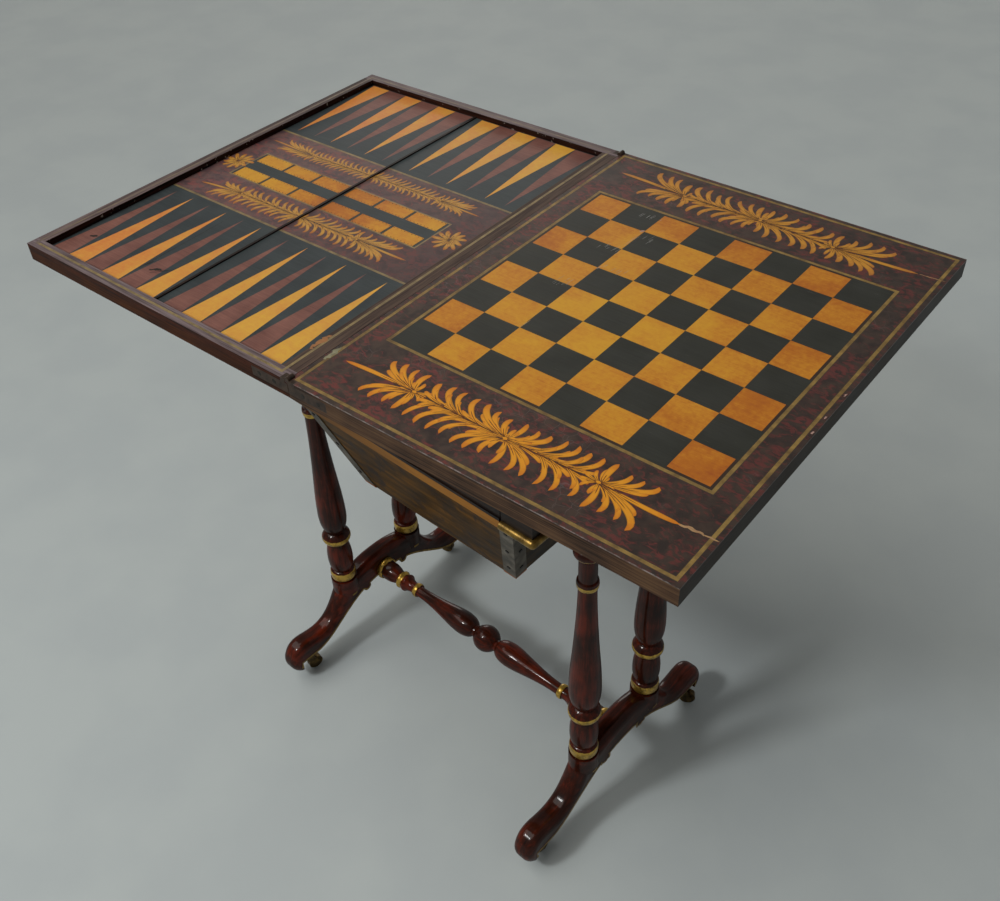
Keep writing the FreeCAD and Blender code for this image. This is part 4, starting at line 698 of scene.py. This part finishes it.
def growSpray(spray):
    rng = random.Random(spray["seed"])
    sheet = ([], [], [], [])
    up, down, level = spray["up"], spray["down"], spray["height"] * mm
    size = (up + down) / growth["fullReach"]
    heads, ends = spray["heads"], spray["ends"]
    stops = [ends[0], *heads, ends[1]]

    def axisAt(x):
        for (x0, y0), (x1, y1) in zip(stops, stops[1:]):
            if x <= x1:
                return y0 + (y1 - y0) * (x - x0) / (x1 - x0)
        return stops[-1][1]

    def shoot(foot, tip, hook, width):
        dx, dy = tip[0] - foot[0], tip[1] - foot[1]
        back = math.copysign(hook * size, dx)
        out, rise, late = growth["bow"]
        bend = ((foot[0] + dx * out, foot[1] + dy * rise), (foot[0] + dx + back, foot[1] + dy * late))
        addPetal(sheet, foot, bend, tip, width * size, level, rng.random() * stripForm["stagger"])

    # tips follow one another along both sides, every petal leaning away from the middle head: the outer ones
    # spring from the end heads, the inner ones from the middle head, the rest from the stem between
    middle = heads[1]
    for side, span in ((1, up), (-1, down)):
        x = ends[0][0] + rng.uniform(*growth["begin"]) * size
        while x < ends[1][0] - growth["endShort"] * size:
            away = 1 if x > middle[0] else -1
            near = heads[2] if away > 0 else heads[0]
            if (x - near[0]) * away > -growth["endHead"] * size:
                aside, above = growth["endFoot"]
                foot = (near[0] + away * aside * size, near[1] + side * above * size)
            elif abs(x - middle[0]) < growth["middleHead"] * size:
                aside, above = growth["middleFoot"]
                foot = (middle[0] + away * aside * size, middle[1] + side * above * size)
            else:
                foot = (x - away * rng.uniform(*growth["lean"]) * size, axisAt(x))
            shoot(foot, (x, axisAt(x) + side * span * rng.uniform(*longLeaf["reach"])),
                  rng.uniform(*longLeaf["hook"]), rng.uniform(*longLeaf["width"]))
            half = x - away * shortLeaf["back"] * size  # a shorter leaf between each long one and the next
            shoot(foot, (half, axisAt(half) + side * span * rng.uniform(*shortLeaf["reach"])),
                  rng.uniform(*shortLeaf["hook"]), rng.uniform(*shortLeaf["width"]))
            if heads[0][0] < x < heads[2][0]:  # and a strap that lies close along the stem
                strap = x + away * rng.uniform(*strapLeaf["ahead"]) * size
                root = strap - away * strapLeaf["length"] * size
                shoot((root, axisAt(root) + side * size),
                      (strap, axisAt(strap) + side * span * rng.uniform(*strapLeaf["reach"])),
                      strapLeaf["hook"], rng.uniform(*strapLeaf["width"]))
            x += rng.uniform(*growth["step"]) * size
    for head in heads:
        for k in range(flower["petals"]):
            angle = 2 * math.pi * (k + rng.uniform(-flower["sway"], flower["sway"])) / flower["petals"]
            reach = rng.uniform(*flower["reach"]) * size
            aside, above = flower["foot"]
            foot = (head[0] + aside * size * math.cos(angle), head[1] + above * size * math.sin(angle))
            tip = (head[0] + reach * flower["wide"] * math.cos(angle), head[1] + reach * math.sin(angle))
            shoot(foot, tip, flower["hook"], flower["width"])
    # the lance leaf at each end, the pen line of the stem and the button of each flower
    for end, head, side in ((ends[0], heads[0], -1), (ends[1], heads[-1], 1)):
        foot = (head[0] + side * lanceLeaf["foot"] * size, head[1])
        run = (end[0] - foot[0], end[1] - foot[1])
        bend = [(foot[0] + run[0] * t, foot[1] + run[1] * t - side * lanceLeaf["sag"] * size)
                for t in lanceLeaf["bends"]]
        addPetal(sheet, foot, bend, end, lanceLeaf["width"] * size, level, stripForm["stagger"])
    parts, keep = stem["parts"], stem["onLance"]
    for (x0, y0), (x1, y1) in zip(stops, stops[1:]):
        if (x0, y0) == ends[0]:  # the line fades out along the lance leaf
            x0, y0 = x1 + (x0 - x1) * keep, y1 + (y0 - y1) * keep
        elif (x1, y1) == ends[1]:
            x1, y1 = x0 + (x1 - x0) * keep, y0 + (y1 - y0) * keep
        line = []
        for k in range(parts + 1):
            y = y0 + (y1 - y0) * k / parts + rng.uniform(-stem["wander"], stem["wander"]) * size
            line.append(Vector((x0 + (x1 - x0) * k / parts, y)) * mm)
        addStrip(sheet, line, [stem["half"] * size * mm] * len(line), level, stem["lift"], penMarks)
    halves = [c * size * mm for c in button["halves"]]
    for x, y in heads:
        spots = [Vector((x + button["length"] * size * k, y - button["fall"] * size * k)) * mm
                 for k in button["along"]]
        addStrip(sheet, spots, halves, level, stem["lift"] * button["lift"], bodyMarks)
    finishSpray(spray["name"], sheet, spray["body"], spray["finish"])


for spray in sprays:
    growSpray(spray)
print("sprays laid")

# the two rosettes at the ends of the centre panel; a ring has its count, share of the radius, petal width
rosettes = [{"name": "rosette_outer", "middle": (-380, 1.5), "radius": 21, "turn": 0.2, "seed": 23},
            {"name": "rosette_hinge", "middle": (-47, 8), "radius": 21.5, "turn": 0.5, "seed": 29}]
rosetteForm = {"rings": ((11, 1.0, 4.8), (10, 0.7, 3.8), (8, 0.36, 2.4)), "sway": 0.15,
               "lengths": (0.84, 1.04), "curl": (0.5, 3.0), "bends": (0.3, 0.7), "eye": 1.4, "level": 0.738}
for rosette in rosettes:
    rng = random.Random(rosette["seed"])
    sheet = ([], [], [], [])
    middle = Vector(rosette["middle"])
    for ring, (count, reach, width) in enumerate(rosetteForm["rings"]):
        for k in range(count):
            sway = rng.uniform(-rosetteForm["sway"], rosetteForm["sway"])
            angle = rosette["turn"] + 2 * math.pi * (k + 0.5 * ring + sway) / count
            length = rosette["radius"] * reach * rng.uniform(*rosetteForm["lengths"])
            out = Vector((math.cos(angle), math.sin(angle)))
            curl = Vector((-out.y, out.x)) * rng.uniform(*rosetteForm["curl"])
            foot = middle + out * rosetteForm["eye"]
            tip = middle + out * length
            bend = [foot + (tip - foot) * t + curl for t in rosetteForm["bends"]]
            addPetal(sheet, foot, bend, tip, width, rosetteForm["level"], rng.random() * stripForm["stagger"])
    finishSpray(rosette["name"], sheet, "backgammon_leaf", fadedPetals)
print("rosettes laid")

# small black dots along the long edges of the score cells
scoreDots = {"bar": -215.9, "first": 3.5, "pitch": 48.0, "cell": 46.0, "cells": 3, "middle": 4.3,
             "rows": (-27.6, -10.4, 10.4, 27.6), "each": 9, "sway": 0.4, "radius": 0.75, "sizes": (0.7, 1.1),
             "sides": 6, "level": 738.0, "edge": 0.03, "rise": 0.06, "seed": 41}
cellEnds = [scoreDots["bar"] + scoreDots["first"] + k * scoreDots["pitch"] for k in range(scoreDots["cells"])]
cellEnds += [2 * scoreDots["bar"] - end - scoreDots["cell"] for end in cellEnds]
verts, faces = [], []
rng = random.Random(scoreDots["seed"])
level, rise, sides = scoreDots["level"], scoreDots["rise"], scoreDots["sides"]
for left in cellEnds:
    for row in scoreDots["rows"]:
        y = scoreDots["middle"] + row
        for k in range(scoreDots["each"]):
            sway = rng.uniform(-scoreDots["sway"], scoreDots["sway"])
            x = left + scoreDots["cell"] * (k + 0.5) / scoreDots["each"] + sway
            size = scoreDots["radius"] * rng.uniform(*scoreDots["sizes"])
            start = len(verts)
            for a in range(sides):
                angle = 2 * math.pi * a / sides
                verts.append((mm * (x + size * math.cos(angle)), mm * (y + size * math.sin(angle)),
                              mm * level + scoreDots["edge"] * mm))
            verts += [(mm * x, mm * y, mm * (level + rise)), (mm * x, mm * y, mm * (level - rise))]
            top, bottom = start + sides, start + sides + 1
            for a in range(sides):
                b = (a + 1) % sides
                faces += [(start + a, start + b, top), (start + b, start + a, bottom)]
newPiece("score_dots", verts, faces, "backgammon_leaf", inkDot)
print("score dots set")

# groups of short parallel rubs on the dark squares
rubbing = {"groups": ((110, 158), (110, 79), (133, 115), (134, 46), (112, 1)), "each": 8, "spread": (14, 6),
           "stroke": (1.6, 10.0), "lengths": (0.5, 1.1), "width": 0.48, "seed": 47}
rng = random.Random(rubbing["seed"])
rubs = []
for x, y in rubbing["groups"]:
    for k in range(rubbing["each"]):
        start = (x + rng.uniform(-1, 1) * rubbing["spread"][0], y + rng.uniform(-1, 1) * rubbing["spread"][1])
        share = rng.uniform(*rubbing["lengths"])
        stop = (start[0] + share * rubbing["stroke"][0], start[1] + share * rubbing["stroke"][1])
        rubs.append((start, stop, rubbing["width"]))
# cracks, scuffs, scratches and repairs: each runs from one spot to another, in millimetres, with its width
wear = [
    {"name": "chess_cracks", "body": "chess_leaf", "level": 745.0, "finish": gessoCrack, "seed": 51,
     "slot": "tortoiseshell_lacquer",
     "runs": [((377, -215.5), (399, -215), 3.4), ((396, -214.6), (411.6, -214), 1.6),
              ((385, 218.2), (411.4, 219.8), 1.0), ((120.5, -83), (121, -66), 0.7)]},
    {"name": "chess_chips", "body": "chess_leaf", "level": 745.0, "finish": paleChip, "seed": 52,
     "slot": "tortoiseshell_lacquer",
     "runs": [((116.6, 129), (120.6, 133.6), 4.2), ((118.6, 127), (118.4, 95), 0.7),
              ((409.4, -1), (410.2, 4), 1.9), ((409, -38), (410, -34), 1.7),
              ((409.4, -62), (410.4, -58), 2.0)]},
    {"name": "chess_scratches", "body": "chess_leaf", "level": 745.0, "finish": rubMark, "seed": 53,
     "slot": "black_veneer", "runs": rubs},
    {"name": "field_cracks", "body": "backgammon_leaf", "level": 738.0, "finish": inkDot, "seed": 57,
     "slot": "black_veneer",
     "runs": [((-279.5, -224), (-281, -96), 0.9), ((-380, -214), (-371, -211), 4.2),
              ((-268, -219), (-255, -213), 4.6), ((-262, -224), (-247, -206), 1.2),
              ((-280, -224), (-277, -206), 1.6)]},
    {"name": "rim_repair", "body": "backgammon_leaf", "level": 745.0, "finish": repairWood, "seed": 59,
     "slot": "leaf_wood", "runs": [((-17.5, -224), (-16.5, -197), 6.5)]},
    {"name": "line_repair", "body": "chess_leaf", "level": 745.0, "finish": repairBrass, "seed": 61,
     "slot": "leaf_wood", "runs": [((5, -228), (5, -205), 6.0)]},
]
wearForm = {"section": 2.5, "fewest": 4, "blunt": (0.08, 0.94), "wander": 0.3, "ragged": (0.5, 1.2),
            "lift": 0.02}
for marks in wear:
    rng = random.Random(marks["seed"])
    sheet = ([], [], [], [])
    for (x0, y0), (x1, y1), width in marks["runs"]:
        count = max(wearForm["fewest"], round(math.dist((x0, y0), (x1, y1)) / wearForm["section"]))
        across = Vector((y0 - y1, x1 - x0)).normalized()
        spots, halves = [], []
        for k in range(count + 1):
            t = k / count
            low, high = wearForm["blunt"]
            swell = math.sin(math.pi * min(max(t, low), high)) ** 0.5
            stray = across * rng.uniform(-wearForm["wander"], wearForm["wander"]) * width
            spots.append((Vector((x0 + (x1 - x0) * t, y0 + (y1 - y0) * t)) + stray) * mm)
            halves.append(width / 2 * swell * rng.uniform(*wearForm["ragged"]) * mm)
        addStrip(sheet, spots, halves, marks["level"] * mm, wearForm["lift"] * mm)
    newPiece(marks["name"], sheet[0], sheet[1], marks["body"], marks["finish"])
print("wear marks set")

# gilt lines along both lower arrises of each foot, following the edge where its side meets its underside;
# sideways, under, square and steep are limits on how a face or an edge lies, shortest counts a line's points
giltLine = {"width": 3.2 * mm, "proud": 0.25 * mm, "sunk": 0.4 * mm, "sideways": 0.98, "under": 0.35,
            "square": 0.2, "steep": 0.8, "shortest": 3}
turnBack = Matrix.Rotation(-baseStand["turn"], 3, "Z")
for name in ("foot_left", "foot_right"):
    mesh = nodes[name].data
    flat, below = {}, set()
    for face in mesh.polygons:
        normal = turnBack @ face.normal
        corners = [tuple(round(c, 6) for c in mesh.vertices[v].co) for v in face.vertices]
        pairs = [(corners[i], corners[(i + 1) % len(corners)]) for i in range(len(corners))]
        if abs(normal.x) > giltLine["sideways"]:
            for pair in pairs:
                flat[frozenset(pair)] = 1 if normal.x > 0 else -1
        elif normal.z < giltLine["under"] and abs(normal.x) < giltLine["square"]:
            below.update(frozenset(pair) for pair in pairs)
    links = {}
    for edge, side in flat.items():
        if edge in below:
            a, b = tuple(edge)
            links.setdefault((side, a), []).append(b)
            links.setdefault((side, b), []).append(a)
    verts, faces, seen = [], [], set()
    starts = [key for key, near in links.items() if len(near) == 1] + list(links)
    for side, first in starts:
        if (side, first) in seen:
            continue
        chain, here = [first], first
        seen.add((side, first))
        while True:
            ahead = [spot for spot in links[(side, here)] if (side, spot) not in seen]
            if not ahead:
                break
            here = ahead[0]
            seen.add((side, here))
            chain.append(here)
        if len(chain) < giltLine["shortest"]:
            continue
        out = (turnBack.transposed() @ Vector((side, 0, 0))).normalized()
        begin = len(verts)
        for k, spot in enumerate(chain):
            ahead = Vector(chain[min(k + 1, len(chain) - 1)]) - Vector(chain[max(k - 1, 0)])
            inward = out.cross(ahead).normalized()
            if inward.z < 0 and abs(ahead.z) < ahead.length * giltLine["steep"]:
                inward = -inward
            spot = Vector(spot)
            corners = (spot - out * giltLine["sunk"], spot + out * giltLine["proud"],
                       spot + out * giltLine["proud"] + inward * giltLine["width"],
                       spot - out * giltLine["sunk"] + inward * giltLine["width"])
            verts += [tuple(c) for c in corners]
        for k in range(len(chain) - 1):
            low = begin + 4 * k
            for j in range(4):
                faces.append((low + j, low + 4 + j, low + 4 + (j + 1) % 4, low + (j + 1) % 4))
        faces.append((begin, begin + 1, begin + 2, begin + 3))
        end = begin + 4 * (len(chain) - 1)
        faces.append((end + 3, end + 2, end + 1, end))
    piece = newPiece(name + "_gilt_lines", verts, faces, "base", friezeGilt)
    print(piece.name, len(verts), "points")

# camera, floor and studio light
camera = {"place": (0.6490, -0.7388, 1.3384), "lens": 38.95, "sensor": 36.0,
          "right": (0.7801860320, 0.6244785966, -0.0365545881),
          "down": (0.3938646854, -0.5357892228, -0.7468604410),
          "forward": (-0.4859839144, 0.5682925226, -0.6639753337)}
lens = bpy.data.cameras.new("studioCamera")
lens.lens = camera["lens"]
lens.sensor_fit = "HORIZONTAL"
lens.sensor_width = camera["sensor"]
eye = bpy.data.objects.new("studioCamera", lens)
axes = Matrix((camera["right"], [-c for c in camera["down"]], [-c for c in camera["forward"]])).transposed()
eye.matrix_world = Matrix.Translation(camera["place"]) @ axes.to_4x4()
bpy.context.scene.collection.objects.link(eye)
bpy.context.scene.camera = eye

# painted studio floor: cool pale grey with the faintest roller mottle
floor = {"half": 30.0, "colour": "#adb5b5", "shade": "#a9b1b2", "rough": 0.7, "mottle": 180}
material, tree, shader, place = startMaterial("rolledStudioFloorPaint")
mottle = addNode(tree, "TexNoise", {"Vector": place, "Scale": perMetre(floor["mottle"]), "Detail": 4})
paint = addNode(tree, "ValToRGB", {"Fac": mottle}, stops=[(0.4, floor["shade"]), (0.6, floor["colour"])])
feed(tree, shader, Base_Color=paint, Roughness=floor["rough"])
half = floor["half"]
mesh = bpy.data.meshes.new("studioFloor")
mesh.from_pydata([(-half, -half, 0), (half, -half, 0), (half, half, 0), (-half, half, 0)], [], [(0, 1, 2, 3)])
mesh.materials.append(material)
ground = bpy.data.objects.new("studioFloor", mesh)
bpy.context.scene.collection.objects.link(ground)

# a disk lamp gives round highlights; a sun's size is its angle, wide, so shadows stay soft
lamps = [
    {"name": "ceilingSoftbox", "kind": "AREA", "place": (-0.74, -1.95, 2.45), "aim": (0, 0, 0.4),
     "size": 0.46, "power": 31, "tint": "#ffffff"},
    {"name": "wideSkylight", "kind": "SUN", "place": (-1.2, -1.3, 3.6), "aim": (0, 0, 0), "size": 0.9,
     "power": 1.35, "tint": "#fffaf3"},
    {"name": "backFill", "kind": "SUN", "place": (-1.4, 1.6, 0.3), "aim": (0, 0, 0), "size": 0.35,
     "power": 0.3, "tint": "#fffaf4"},
]
for lamp in lamps:
    light = bpy.data.lights.new(lamp["name"], lamp["kind"])
    if lamp["kind"] == "AREA":
        light.shape = "DISK"
        light.size = lamp["size"]
    else:
        light.angle = lamp["size"]
    light.energy = lamp["power"]
    light.color = linear(lamp["tint"])[:3]
    holder = bpy.data.objects.new(lamp["name"], light)
    spot = Vector(lamp["place"])
    turn = (Vector(lamp["aim"]) - spot).to_track_quat("-Z", "Y").to_matrix().to_4x4()
    holder.matrix_world = Matrix.Translation(spot) @ turn
    bpy.context.scene.collection.objects.link(holder)

air = {"colour": "#f6f5f3", "strength": 0.23}
sky = bpy.data.worlds.new("studioAir")
sky.use_nodes = True
backdrop = sky.node_tree.nodes["Background"].inputs
backdrop["Color"].default_value = linear(air["colour"])
backdrop["Strength"].default_value = air["strength"]
bpy.context.scene.world = sky
bpy.context.scene.view_settings.view_transform = "Standard"
print("stage set")
